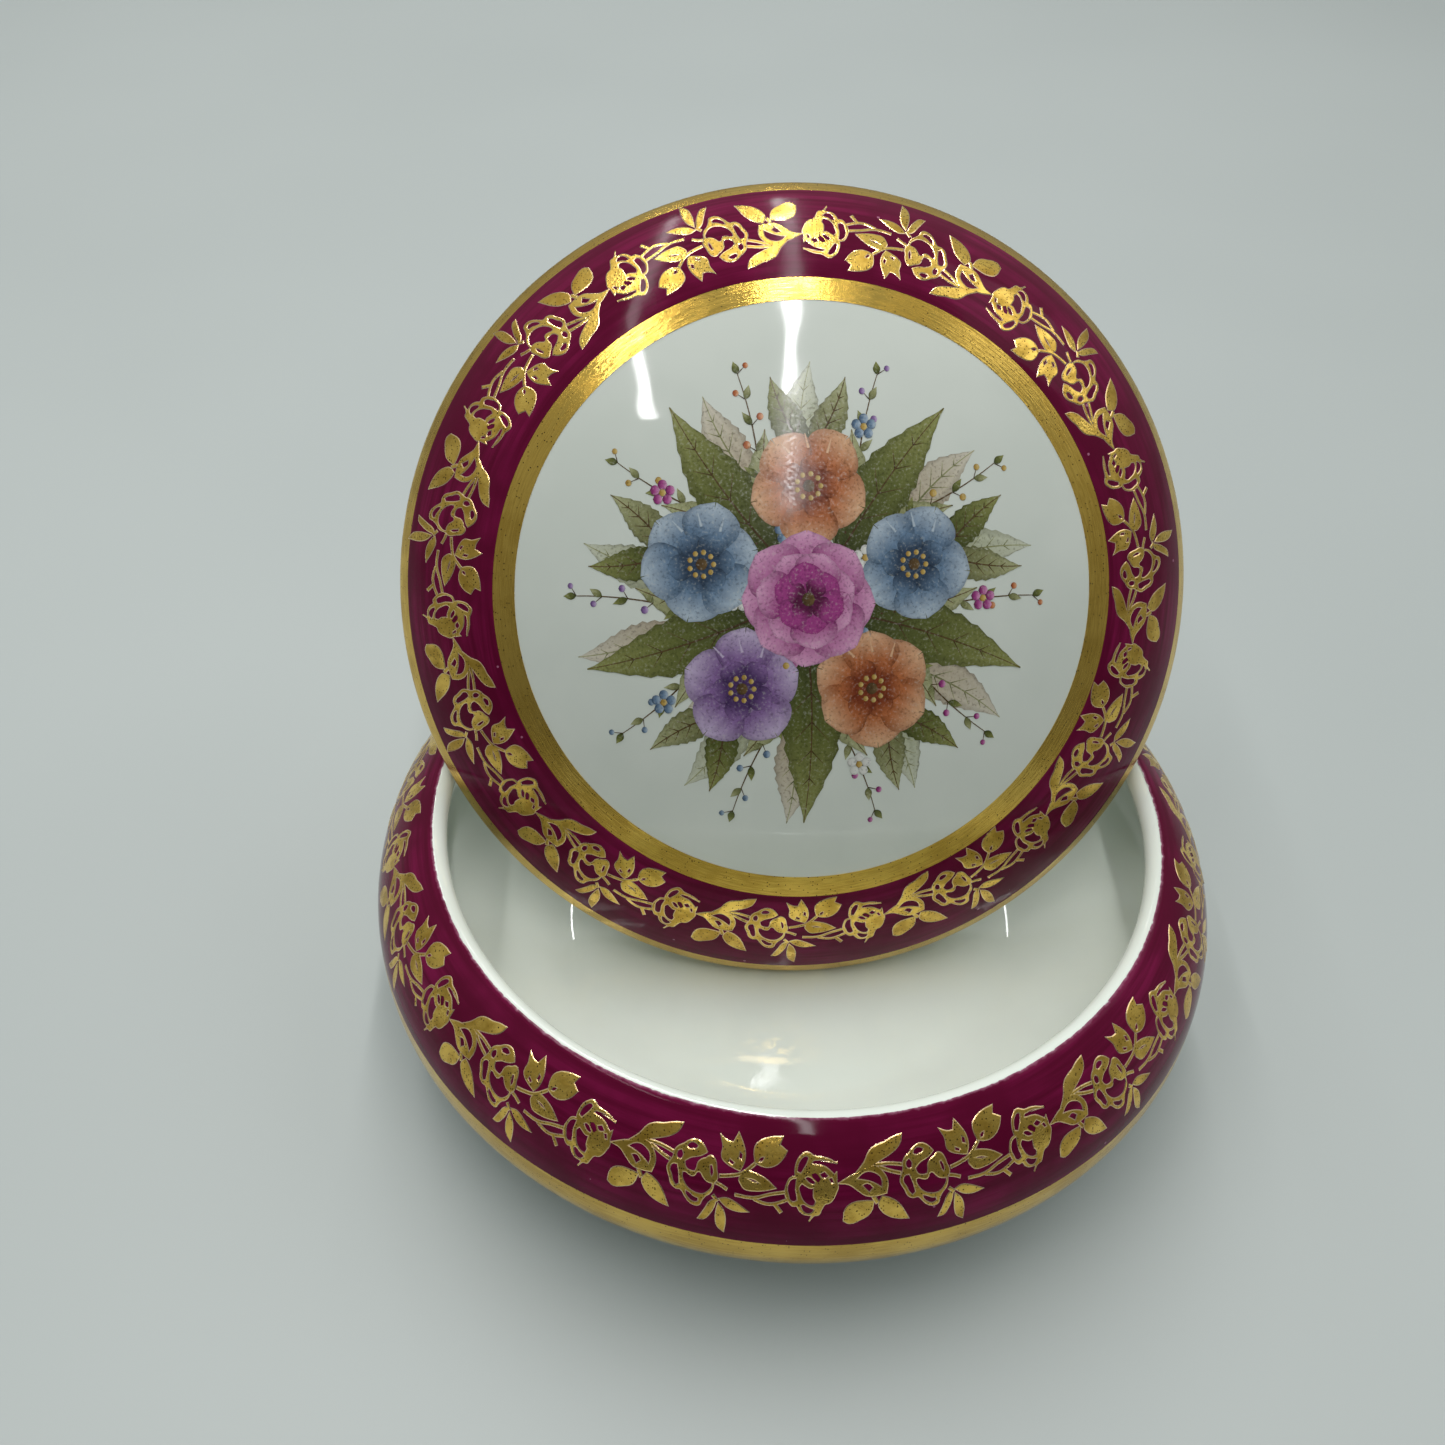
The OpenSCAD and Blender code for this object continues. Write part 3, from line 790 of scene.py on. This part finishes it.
def paint_blossom(centre, size, colours, coat, count=5):
    """An open blossom: notched petals, a smaller darker ring, a ring of stamens and pale lights."""
    dark, middle, pale = colours
    ring_of_petals(centre, count, size, size * 0.98, hand.uniform(0, 72), colours, coat, 0.12 * size, 0.4)
    inner = (dark, dark, middle)
    ring_of_petals(centre, count, size * 0.55, size * 0.45, hand.uniform(0, 72), inner, coat + 2)
    for i in range(STAMENS):
        dot(polar(centre, i * 360 / STAMENS, size * 0.2), size * 0.09, OCHRE, coat + 5)
    dot(centre, size * 0.2, BROWN, coat + 4)
    for turn in LIGHT_TURNS:
        low, high = polar(centre, turn, size * 0.62), polar(centre, turn + 4, size * 0.86)
        line_mark(low, high, size * 0.05, stem_width, (pale, pale, pale), coat + 4, (4, 2))


# %% [markdown]
# ### Leaves, sprigs and posies
#
# A leaf gets a midrib and side veins as hair lines, in a higher coat. A sprig is a bent stem with small
# leaves and buds on both sides. All of them start from one bent line, so they share a helper.

# %% Leaves, sprigs and posies
MIDRIB_W = 0.22
VEIN_W = 0.12
VEIN_TURN = 42
VEIN_REACH = 0.46
SPRIG_STEM_W = 0.24
SPRIG_LEAF_W = 0.8
BUD_STEM_W = 0.11
BUD_STEM_LENGTH = 1.15
BUD_TURN = 50


def bent_line(base, turn, length, bow):
    """The base, bend and tip of a line that bows to one side by a share of its length."""
    tip = polar(base, turn, length)
    return Vector(base), (Vector(base) + tip) / 2 + polar((0, 0), turn + 90, length * bow), tip


def paint_leaf(base, turn, length, width, colours, coat, bow):
    """A toothed leaf with a midrib and side veins."""
    line = bent_line(base, turn, length, bow)
    mark(*line, width, leaf_width, colours, coat, (28, 8), 0.0, 0.3)
    ribs = BROWN if colours in (OLIVE, SAGE) else SAGE
    mark(*line, MIDRIB_W, stem_width, ribs, coat + 2, (10, 2))
    for i in range(1, 5):
        share = 0.1 + 0.16 * i
        root = along(*line, share)
        for side in (-1, 1):
            end = polar(root, turn + side * VEIN_TURN, width * VEIN_REACH * leaf_width(share + 0.08))
            line_mark(root, end, VEIN_W, stem_width, ribs, coat + 1, (4, 2))


def paint_sprig(base, turn, length, bow, colours, coat):
    """A bent stem with buds and small leaves along it."""
    line = bent_line(base, turn, length, bow)
    mark(*line, SPRIG_STEM_W, stem_width, BROWN, coat, (12, 2))
    for i in range(5):
        root = along(*line, 0.34 + 0.165 * i)
        side = -1 if i % 2 else 1
        end = polar(root, turn + side * (48 - 9 * i), 1.9 - 0.15 * i)
        line_mark(root, end, SPRIG_LEAF_W, leaf_width, SAGE if i % 2 else OLIVE, coat + 1, (8, 4))
        bud = polar(root, turn - side * BUD_TURN, BUD_STEM_LENGTH)
        line_mark(root, bud, BUD_STEM_W, stem_width, BROWN, coat + 1, (4, 2))
        dot(bud, 0.85 - 0.07 * i, colours, coat + 2)


def paint_posy(centre, size, colours, coat):
    """A tiny flower of five dots round a yellow one."""
    for i in range(5):
        dot(polar(centre, 72 * i + 18, size * 0.34), size * 0.42, colours, coat)
    dot(centre, size * 0.3, OCHRE, coat + 1)


# %% [markdown]
# ### The whole spray
#
# The painter works from the back to the front: pale leaves first, then the sprigs and green leaves between
# the blossoms, the blossoms themselves, small posies, and the rose on top. The plan is a plain star of five.

# %% The spray
MIDDLE = (0, 0)
SPRAY_R = 11.0
BLOSSOM_R = 5.9
ROSE_R = 6.6
POSY_W = 2.3
SPRIG_LENGTH = 15.5
LEAF_BASE_R = 4.5
LEAF_END_R = 23.0
FIFTH = 72
TENTH = 36
WASH_COAT = 0
SPRIG_COAT = 3
SIDE_LEAF_COAT = 5
BLOSSOM_LEAF_COAT = 6
LEAF_COAT = 8
POSY_COAT = 11
BLOSSOM_COAT = 12
ROSE_COAT = 16

motifs = []


def lift_brush():
    """Joins the marks of one motif into a single mesh, which keeps the scene small and quick."""
    motifs.append(join_pieces("motif", marks))
    marks.clear()


for i in range(10):
    turn = 108 + TENTH * i + hand.uniform(-6, 6)
    for side in (-14, 8):
        base = polar(MIDDLE, turn + side, 5.5 if i % 2 else 12.0)
        length = hand.uniform(10, 12)
        paint_leaf(base, turn + side * 1.6, length, 4.6, WASH if side < 0 else BLUSH, WASH_COAT, 0.1)
    lift_brush()
for i in range(5):
    between = 126 + FIFTH * i
    root = polar(MIDDLE, between, 8.0)
    buds = (RUSSET, MAUVE, SLATE, MAGENTA, OCHRE)[i], (OCHRE, SLATE, MAGENTA, RUSSET, MAUVE)[i]
    for side, colours in zip((-1, 1), buds):
        paint_sprig(root, between + side * 28, SPRIG_LENGTH, side * 0.1, colours, SPRIG_COAT)
    base = polar(MIDDLE, between, 5.0)
    for side in (-1, 1):
        paint_leaf(base, between + side * 30, 12.5, 5.0, SAGE, SIDE_LEAF_COAT + side, side * -0.1)
    lift_brush()
    base = polar(MIDDLE, between, LEAF_BASE_R)
    paint_leaf(base, between, LEAF_END_R - LEAF_BASE_R, 6.4, OLIVE, LEAF_COAT, 0.06)
    lift_brush()
for i, colours in enumerate((RUSSET, SLATE, MAUVE, RUSSET, SLATE)):
    turn = 90 + FIFTH * i
    base = polar(MIDDLE, turn, 14.0)
    for side, green in ((-1, SAGE), (1, OLIVE)):
        paint_leaf(base, turn + side * 26, 8.4, 3.6, green, BLOSSOM_LEAF_COAT, side * 0.1)
    lift_brush()
    paint_blossom(polar(MIDDLE, turn, SPRAY_R), BLOSSOM_R, colours, BLOSSOM_COAT, 6 if i % 2 else 5)
    lift_brush()
for i in range(10):
    place = polar(MIDDLE, 108 + TENTH * i, 17.6 if i % 2 else 6.9)
    paint_posy(place, POSY_W, (SLATE, MAGENTA, CHALK)[i % 3], POSY_COAT)
    lift_brush()
paint_rose(MIDDLE, ROSE_R, MAGENTA, ROSE_COAT)
lift_brush()
print("painted motifs:", len(motifs))

# %% [markdown]
# ### The paint on the crown
#
# The coats lie flat so far. A Shrinkwrap modifier would press them all onto the crown. Here each point is
# moved up to the crown's own sphere plus the height of its coat, which keeps the coats in order. Solidify
# then gives them a thickness that reaches into the glaze.

# %% Wrap the paint on the crown
flower_spray = join_pieces("lid_flower_painting", motifs)
for vertex in flower_spray.data.vertices:
    r = math.hypot(vertex.co.x, vertex.co.y) / mm
    vertex.co.z = (CROWN[1] + math.sqrt((CROWN[2] + vertex.co.z / mm) ** 2 - r ** 2)) * mm
thicken(flower_spray, PAINT_SINK)
lay_lid(flower_spray)
print("flower spray has", len(flower_spray.data.polygons), "faces")

# %% [markdown]
# ## Tools for the finishes
#
# A finish is a small network of nodes. It could be clicked together in the shader editor. Here one helper
# adds a node and links or sets its inputs, and another starts a group, so that each network reads as a short
# list. Effects that several finishes share are node groups, built once and used with different values.

# %% Node helpers
def add_node(tree, kind, inputs=None, **settings):
    """Adds a shader node, sets its properties, and links or sets its inputs by name or number."""
    made = tree.nodes.new("ShaderNode" + kind)
    for label, value in settings.items():
        setattr(made, label, value)
    for label, value in (inputs or {}).items():
        if isinstance(value, bpy.types.NodeSocket):
            tree.links.new(value, made.inputs[label])
        else:
            made.inputs[label].default_value = value
    return made


def new_group(name, inputs, outputs):
    """Starts a node group. Returns its tree, its inputs as sockets to read and its outputs to fill."""
    tree = bpy.data.node_groups.new(name, "ShaderNodeTree")
    tree.interface.new_socket("Vector", in_out="INPUT", socket_type="NodeSocketVector")
    for label, value in inputs.items():
        tree.interface.new_socket(label, in_out="INPUT", socket_type="NodeSocketFloat").default_value = value
    for label in outputs:
        tree.interface.new_socket(label, in_out="OUTPUT", socket_type="NodeSocketFloat")
    return tree, tree.nodes.new("NodeGroupInput").outputs, tree.nodes.new("NodeGroupOutput").inputs


def use_group(tree, group, inputs):
    """Places a node group in a material and gives back its outputs."""
    return add_node(tree, "Group", inputs, node_tree=group).outputs


def maths(tree, operation, first, second):
    """Works on two numbers and gives back the socket."""
    return add_node(tree, "Math", {0: first, 1: second}, operation=operation).outputs[0]


def noise(tree, place, scale, detail, roughness=0.5):
    """A noise pattern's value from 0 to 1."""
    inputs = {"Vector": place, "Scale": scale, "Detail": detail, "Roughness": roughness}
    return add_node(tree, "TexNoise", inputs).outputs["Fac"]


def from_axis(tree, place):
    """The level part of a place as a vector, and its length, the distance from the upright axis."""
    level = add_node(tree, "VectorMath", {0: place, 1: (1, 1, 0)}, operation="MULTIPLY").outputs[0]
    return level, add_node(tree, "VectorMath", {0: level}, operation="LENGTH").outputs["Value"]


def mix_colours(tree, share, first, second):
    """Mixes two colours by a share from 0 to 1 and gives back the colour socket."""
    inputs = {0: share}
    for number, value in ((6, first), (7, second)):
        inputs[number] = value if isinstance(value, bpy.types.NodeSocket) else (*value, 1)
    return add_node(tree, "Mix", inputs, data_type="RGBA").outputs[2]


def ramp(tree, value, span, to=(0.0, 1.0)):
    """Maps a value smoothly from one span to another, held at both ends, and gives back the socket."""
    inputs = {"Value": value, "From Min": span[0], "From Max": span[1], "To Min": to[0], "To Max": to[1]}
    return add_node(tree, "MapRange", inputs, interpolation_type="SMOOTHSTEP").outputs["Result"]


# %% Start and end of a finish
WHOLE = (0, 1)


def new_finish(name):
    """Starts a material. Returns it, its tree, its shader and its Object coordinates."""
    material = bpy.data.materials.new(name)
    material.use_nodes = True
    tree = material.node_tree
    return material, tree, tree.nodes["Principled BSDF"], add_node(tree, "TexCoord").outputs["Object"]


def set_surface(tree, shader, colour, roughness, height=None, bump=None):
    """Links a shader's colour and roughness and, where there is a height, a bump (strength, depth in mm)."""
    tree.links.new(colour, shader.inputs["Base Color"])
    tree.links.new(roughness, shader.inputs["Roughness"])
    if height is not None:
        inputs = {"Height": height, "Strength": bump[0], "Distance": bump[1] * mm}
        tree.links.new(add_node(tree, "Bump", inputs).outputs[0], shader.inputs["Normal"])


# %% [markdown]
# ## Shared effects: glaze, specks and brush lines
#
# Glaze flows in the kiln, so it is never quite even: its colour clouds softly and its surface ripples. Dust
# and tiny bubbles leave specks. Gold and enamel are brushed on while the piece turns on a wheel, so their
# streaks run round the axis. The brush lines therefore use the direction from the axis, which has no seam,
# and not an angle.

# %% Effect groups
NOISE_SPAN = (0.3, 0.7)

glaze_inputs = {"Cloud Scale": 70.0, "Ripple Scale": 160.0}
glaze_group, ins, outs = new_group("glaze_flow", glaze_inputs, ("Cloud", "Ripple"))
cloud = noise(glaze_group, ins["Vector"], ins["Cloud Scale"], 3.0, 0.55)
glaze_group.links.new(ramp(glaze_group, cloud, NOISE_SPAN), outs["Cloud"])
ripple = noise(glaze_group, ins["Vector"], ins["Ripple Scale"], 1.0, 0.4)
glaze_group.links.new(ripple, outs["Ripple"])

speck_group, ins, outs = new_group("specks", {"Scale": 300.0, "Size": 0.2, "Share": 0.1}, ("Mask",))
cells = add_node(speck_group, "TexVoronoi", {"Vector": ins["Vector"], "Scale": ins["Scale"]}).outputs
near = maths(speck_group, "LESS_THAN", cells["Distance"], ins["Size"])
draw = add_node(speck_group, "SeparateColor", {"Color": cells["Color"]}).outputs["Red"]
chosen = maths(speck_group, "LESS_THAN", draw, ins["Share"])
speck_group.links.new(maths(speck_group, "MULTIPLY", near, chosen), outs["Mask"])

brush_group, ins, outs = new_group("brush_lines", {"Round": 3.0, "Fineness": 3000.0}, ("Streak",))
level, radius = from_axis(brush_group, ins["Vector"])
outward = add_node(brush_group, "VectorMath", {0: level}, operation="NORMALIZE").outputs[0]
spread_inputs = {0: outward, "Scale": ins["Round"]}
spread = add_node(brush_group, "VectorMath", spread_inputs, operation="SCALE").outputs[0]
height = add_node(brush_group, "SeparateXYZ", {0: ins["Vector"]}).outputs["Z"]
fine = maths(brush_group, "MULTIPLY", maths(brush_group, "SUBTRACT", radius, height), ins["Fineness"])
upright = add_node(brush_group, "CombineXYZ", {"Z": fine}).outputs[0]
place = add_node(brush_group, "VectorMath", {0: spread, 1: upright}, operation="ADD").outputs[0]
streak = noise(brush_group, place, 1.0, 3.0, 0.6)
brush_group.links.new(ramp(brush_group, streak, NOISE_SPAN), outs["Streak"])
print("effect groups:", [group.name for group in (glaze_group, speck_group, brush_group)])

# %% [markdown]
# ## White porcelain
#
# Hard porcelain is a slightly green white under a clear glaze. The colour clouds a little, the glaze ripples
# the reflections, and there are a few pinholes. A bump node with a very small height is enough for the
# ripple. Both pieces are one white. The lid's white is painted darker, as painted shade on a crown that faces
# the darker front, and the bowl's is painted lighter, as painted light from above, so each has its own
# material.

# %% Porcelain finish
# One white in two copies: the bowl's whites carry painted light, the lid's whites painted shade.
BOWL_LIT_DULL = (0.75, 0.795, 0.725)
BOWL_LIT_CLEAR = (0.79, 0.835, 0.765)
LID_SHADED_DULL = (0.60, 0.64, 0.585)
LID_SHADED_CLEAR = (0.64, 0.675, 0.62)
PINHOLE = (0.16, 0.15, 0.12)
PORCELAIN_ROUGHNESS = (0.03, 0.07)
PORCELAIN_BUMP = (0.12, 0.5)


def porcelain_finish(name, dull, clear):
    """Glazed white porcelain that clouds between two whites."""
    material, tree, shader, coords = new_finish(name)
    glaze = use_group(tree, glaze_group, {"Vector": coords})
    pin_inputs = {"Vector": coords, "Scale": 260.0, "Size": 0.035, "Share": 0.07}
    pinholes = use_group(tree, speck_group, pin_inputs)
    white = mix_colours(tree, glaze["Cloud"], dull, clear)
    white = mix_colours(tree, pinholes["Mask"], white, PINHOLE)
    roughness = ramp(tree, glaze["Cloud"], WHOLE, PORCELAIN_ROUGHNESS)
    set_surface(tree, shader, white, roughness, glaze["Ripple"], PORCELAIN_BUMP)
    return material


# The bowl's white is lit by painted light, and the lid's is darkened by painted shade.
bowl_lit_white = porcelain_finish("bowl_lit_white_porcelain", BOWL_LIT_DULL, BOWL_LIT_CLEAR)
lid_shaded_white = porcelain_finish("lid_shaded_white_porcelain", LID_SHADED_DULL, LID_SHADED_CLEAR)
print("white finishes:", bowl_lit_white.name, lid_shaded_white.name)

# %% [markdown]
# ## Burgundy enamel
#
# The enamel is dark red glass over white. Where the brush left it thin it is paler and more pink, so brush
# lines and clouds change its colour. Its upper edge on the bowl's lip was cut by hand: it is ragged, with a
# thin pink fringe.

# %% Enamel finish
ENAMEL_DEEP = (0.092, 0.0018, 0.021)
ENAMEL_THIN = (0.180, 0.006, 0.052)
ENAMEL_FRINGE = (0.34, 0.12, 0.20)
ENAMEL_BARE = (0.66, 0.68, 0.64)
ENAMEL_SPECULAR = 0.09
ENAMEL_ROUGHNESS = (0.07, 0.14)
ENAMEL_BUMP = (0.15, 0.3)
RAG_SCALE = 1400.0
RAG_DEPTH = 0.5 * mm
FRINGE_SPAN = ((ENAMEL_TOP_R - 0.25) * mm, (ENAMEL_TOP_R + 0.05) * mm)
FRINGE_SHARE = (0.8, 0.0)
BARE_SPAN = ((ENAMEL_TOP_R - 0.3) * mm, (ENAMEL_TOP_R - 0.2) * mm)
BARE_SHARE = (1.0, 0.0)
LID_TURNED_BACK = (-LID_LEAN, 0, 0)


def level_coords(tree, coords, leaning):
    """Object coordinates in which the piece's own axis is upright: a leaning piece is turned back about x."""
    if not leaning:
        return coords
    moved = add_node(tree, "VectorMath", {0: coords, 1: LID_PLACE}, operation="SUBTRACT").outputs[0]
    return add_node(tree, "Mapping", {"Vector": moved, "Rotation": LID_TURNED_BACK}).outputs[0]


def ragged_edge(tree, coords, red):
    """Fades the bowl's enamel into a pink fringe and then white, along a ragged line near the lip's crest."""
    _, radius = from_axis(tree, coords)
    rag = maths(tree, "MULTIPLY", noise(tree, coords, RAG_SCALE, 2.0), RAG_DEPTH)
    edge = maths(tree, "SUBTRACT", radius, rag)
    red = mix_colours(tree, ramp(tree, edge, FRINGE_SPAN, FRINGE_SHARE), red, ENAMEL_FRINGE)
    return mix_colours(tree, ramp(tree, edge, BARE_SPAN, BARE_SHARE), red, ENAMEL_BARE)


def enamel_finish(name, leaning):
    """Burgundy enamel for the bowl or for the leaning lid."""
    material, tree, shader, coords = new_finish(name)
    level = level_coords(tree, coords, leaning)
    glaze_inputs = {"Vector": coords, "Cloud Scale": 110.0, "Ripple Scale": 240.0}
    glaze = use_group(tree, glaze_group, glaze_inputs)
    brush = use_group(tree, brush_group, {"Vector": level, "Round": 2.0, "Fineness": 900.0})
    dust_inputs = {"Vector": coords, "Scale": 900.0, "Size": 0.14, "Share": 0.025}
    dust = use_group(tree, speck_group, dust_inputs)
    thin = maths(tree, "MULTIPLY", glaze["Cloud"], brush["Streak"])
    red = mix_colours(tree, thin, ENAMEL_DEEP, ENAMEL_THIN)
    red = mix_colours(tree, dust["Mask"], red, ENAMEL_FRINGE)
    if not leaning:
        red = ragged_edge(tree, coords, red)
    shader.inputs["Specular IOR Level"].default_value = ENAMEL_SPECULAR
    roughness = ramp(tree, glaze["Cloud"], WHOLE, ENAMEL_ROUGHNESS)
    set_surface(tree, shader, red, roughness, glaze["Ripple"], ENAMEL_BUMP)
    return material


bowl_burgundy = enamel_finish("bowl_burgundy_enamel", False)
lid_burgundy = enamel_finish("lid_burgundy_enamel", True)
print("enamel finishes:", bowl_burgundy.name, lid_burgundy.name)

# %% [markdown]
# ## Gold
#
# Fired gold is a thin metal film, rubbed bright with sand. The lines and the ring were brushed on a wheel, so
# they show faint streaks round the axis, dull patches and fine scratches. The printed garland is grainier,
# with tiny pits and a pale rim round every shape.

# %% Gold finishes
GOLD_DULL = (0.48, 0.29, 0.045)
GOLD_BRIGHT = (0.88, 0.59, 0.13)
GOLD_PIT = (0.10, 0.055, 0.015)
GOLD_RIM = (0.86, 0.66, 0.46)
WORN_SPAN = (0.2, 1.7)
BRUSHED_SHARE = (0.25, 0.85)
BRUSHED_ROUGHNESS = (0.27, 0.12)
BRUSHED_BUMP = (0.2, 0.03)
PRINTED_ROUGHNESS = (0.36, 0.19)
PRINTED_BUMP = (0.4, 0.05)


def gold_finish(name, leaning):
    """Brushed gold for the lines of the bowl or of the leaning lid."""
    material, tree, shader, coords = new_finish(name)
    level = level_coords(tree, coords, leaning)
    glaze_inputs = {"Vector": coords, "Cloud Scale": 180.0, "Ripple Scale": 2600.0}
    glaze = use_group(tree, glaze_group, glaze_inputs)
    brush = use_group(tree, brush_group, {"Vector": level, "Round": 14.0, "Fineness": 5200.0})
    pit_inputs = {"Vector": coords, "Scale": 4200.0, "Size": 0.3, "Share": 0.12}
    pits = use_group(tree, speck_group, pit_inputs)
    worn = maths(tree, "ADD", glaze["Cloud"], brush["Streak"])
    gold = mix_colours(tree, ramp(tree, worn, WORN_SPAN, BRUSHED_SHARE), GOLD_DULL, GOLD_BRIGHT)
    gold = mix_colours(tree, pits["Mask"], gold, GOLD_PIT)
    shader.inputs["Metallic"].default_value = 1.0
    roughness = ramp(tree, worn, WORN_SPAN, BRUSHED_ROUGHNESS)
    height = maths(tree, "ADD", brush["Streak"], glaze["Ripple"])
    set_surface(tree, shader, gold, roughness, height, BRUSHED_BUMP)
    return material


bowl_gold = gold_finish("bowl_brushed_gold", False)
lid_gold = gold_finish("lid_brushed_gold", True)

garland_gold, tree, shader, coords = new_finish("printed_gold")
glaze_inputs = {"Vector": coords, "Cloud Scale": 420.0, "Ripple Scale": 3600.0}
glaze = use_group(tree, glaze_group, glaze_inputs)
pits = use_group(tree, speck_group, {"Vector": coords, "Scale": 4600.0, "Size": 0.33, "Share": 0.3})
gold = mix_colours(tree, glaze["Cloud"], GOLD_DULL, GOLD_BRIGHT)
gold = mix_colours(tree, pits["Mask"], gold, GOLD_PIT)
rim = add_node(tree, "Attribute", attribute_name="rim").outputs["Fac"]
gold = mix_colours(tree, rim, gold, GOLD_RIM)
shader.inputs["Metallic"].default_value = 1.0
roughness = ramp(tree, glaze["Cloud"], WHOLE, PRINTED_ROUGHNESS)
set_surface(tree, shader, gold, roughness, glaze["Ripple"], PRINTED_BUMP)
print("gold finishes:", bowl_gold.name, lid_gold.name, garland_gold.name)

# %% [markdown]
# ## Overglaze paint
#
# The painter's colours come from the attribute that each coat carries. They were dabbed on with a stippling
# brush, so fine dots let the white through, and the paint is a little less glossy than the glaze around it.

# %% Paint finish
STIPPLE_SCALE = 3600.0
STIPPLE_WHITE = (0.60, 0.60, 0.52)
PALE_SPAN = (0.54, 0.76)
PALE_SHARE = (0.0, 0.24)
DEEP_SPAN = (0.30, 0.46)
DEEP_SHARE = (0.7, 0.0)
PAINT_ROUGHNESS = (0.1, 0.25)
BLACK = (0.0, 0.0, 0.0)

paint, tree, shader, coords = new_finish("overglaze_paint")
tint = add_node(tree, "VertexColor", layer_name="tint").outputs["Color"]
dots = noise(tree, coords, STIPPLE_SCALE, 2.0)
colour = mix_colours(tree, ramp(tree, dots, PALE_SPAN, PALE_SHARE), tint, STIPPLE_WHITE)
deep = mix_colours(tree, 0.5, tint, BLACK)
colour = mix_colours(tree, ramp(tree, dots, DEEP_SPAN, DEEP_SHARE), colour, deep)
set_surface(tree, shader, colour, ramp(tree, dots, NOISE_SPAN, PAINT_ROUGHNESS))
print("paint finish:", paint.name)

# %% [markdown]
# ## Who carries what
#
# Every piece gets its finish, rides on its body, names the record's slot that it takes its finish from, and
# stands for the CAD node that it replaces.

# %% Finishes, bodies and replaced nodes
for piece, material, body, slot, node in (
    (bowl_porcelain, bowl_lit_white, "bowl", "porcelain", "bowl_body"),
    (bowl_enamel, bowl_burgundy, "bowl", "enamel", "bowl_enamel_band"),
    (bowl_gold_line, bowl_gold, "bowl", "gilding", "bowl_gilt_line"),
    (bowl_garland, garland_gold, "bowl", "gilding", "bowl_garland"),
    (lid_porcelain, lid_shaded_white, "lid", "porcelain", "lid_body"),
    (lid_enamel, lid_burgundy, "lid", "enamel", "lid_enamel_band"),
    (lid_gold_edge, lid_gold, "lid", "gilding", "lid_gilt_edge"),
    (lid_gold_ring, lid_gold, "lid", "gilding", "lid_gilt_ring"),
    (lid_garland, garland_gold, "lid", "gilding", "lid_garland"),
    (flower_spray, paint, "lid", "painting", "lid_flower_spray"),
):
    piece.data.materials.clear()
    piece.data.materials.append(material)
    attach(piece, body)
    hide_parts(node)
    print(piece.name, "rides on", body, "and wears", material.name)

# %% [markdown]
# ## Floor
#
# A plain pale floor carries the box and keeps its shadow. It belongs to the studio and not to the object.

# %% Floor
FLOOR_SIDE = 3.0
FLOOR_DULL = (0.44, 0.475, 0.465)
FLOOR_CLEAR = (0.475, 0.51, 0.50)
FLOOR_ROUGHNESS = 0.5

bpy.ops.object.select_all(action="DESELECT")
bpy.ops.mesh.primitive_plane_add(size=FLOOR_SIDE)
floor = bpy.context.object
floor.name = "studio_floor"
floor_finish, tree, shader, coords = new_finish("pale_floor")
glaze_inputs = {"Vector": coords, "Cloud Scale": 4.0, "Ripple Scale": 500.0}
glaze = use_group(tree, glaze_group, glaze_inputs)
grey = mix_colours(tree, glaze["Cloud"], FLOOR_DULL, FLOOR_CLEAR)
tree.links.new(grey, shader.inputs["Base Color"])
shader.inputs["Roughness"].default_value = FLOOR_ROUGHNESS
floor.data.materials.append(floor_finish)
print("floor:", FLOOR_SIDE, "m wide")

# %% [markdown]
# ## Light
#
# Glossy things show the room. The room is a light tent that is open at the front: bright above and behind,
# darker towards the viewer, so the red stays deep and the gold has contrast. Two narrow strip lamps overhead
# leave the long highlights down the lid and in the bowl, and a soft lamp on the right lights that side.

# %% World and lamps
TENT_MOUTH = (0.0, -0.87, 0.50)
TENT_COLOUR = (0.94, 1.0, 0.98, 1)
TENT_HEIGHTS = (0.0, 0.8)
TENT_STRENGTH = (0.29, 0.60)
MOUTH_SPAN = (0.1, 0.9)
MOUTH_SHARE = (1.0, 0.42)

world = bpy.data.worlds.new("light_tent")
bpy.context.scene.world = world
world.use_nodes = True
sky = world.node_tree
direction = add_node(sky, "TexCoord").outputs["Generated"]
height = add_node(sky, "SeparateXYZ", {0: direction}).outputs["Z"]
tent = ramp(sky, height, TENT_HEIGHTS, TENT_STRENGTH)
mouth_inputs = {0: direction, 1: TENT_MOUTH}
front = add_node(sky, "VectorMath", mouth_inputs, operation="DOT_PRODUCT").outputs["Value"]
wall = ramp(sky, front, MOUTH_SPAN, MOUTH_SHARE)
background = sky.nodes["Background"].inputs
background["Color"].default_value = TENT_COLOUR
sky.links.new(maths(sky, "MULTIPLY", tent, wall), background["Strength"])


def add_lamp(name, place, aim, size, power):
    """Adds a rectangular area lamp, in metres and watts, aimed at a point. A lamp that looks down has its
    long side along y."""
    way = Vector(aim) - Vector(place)
    turn = way.to_track_quat("-Z", "Y").to_euler()
    bpy.ops.object.light_add(type="AREA", location=place, rotation=turn)
    lamp = bpy.context.object
    lamp.name = name
    lamp.data.shape = "RECTANGLE"
    lamp.data.size, lamp.data.size_y = size
    lamp.data.energy = power


add_lamp("strip_middle", (0.022, 0.10, 0.50), (0.022, 0.10, 0.0), (0.018, 1.0), 1.45)
add_lamp("strip_left", (-0.19, 0.20, 0.50), (-0.19, 0.20, 0.0), (0.018, 0.8), 1.0)
add_lamp("soft_right", (0.42, 0.12, 0.50), (0.0, 0.0, 0.03), (0.35, 0.35), 0.40)

# %% [markdown]
# ## Screen colours
#
# The last cell sets plain colours for the screen.

# %% Screen colours
bpy.context.scene.view_settings.view_transform = "Standard"
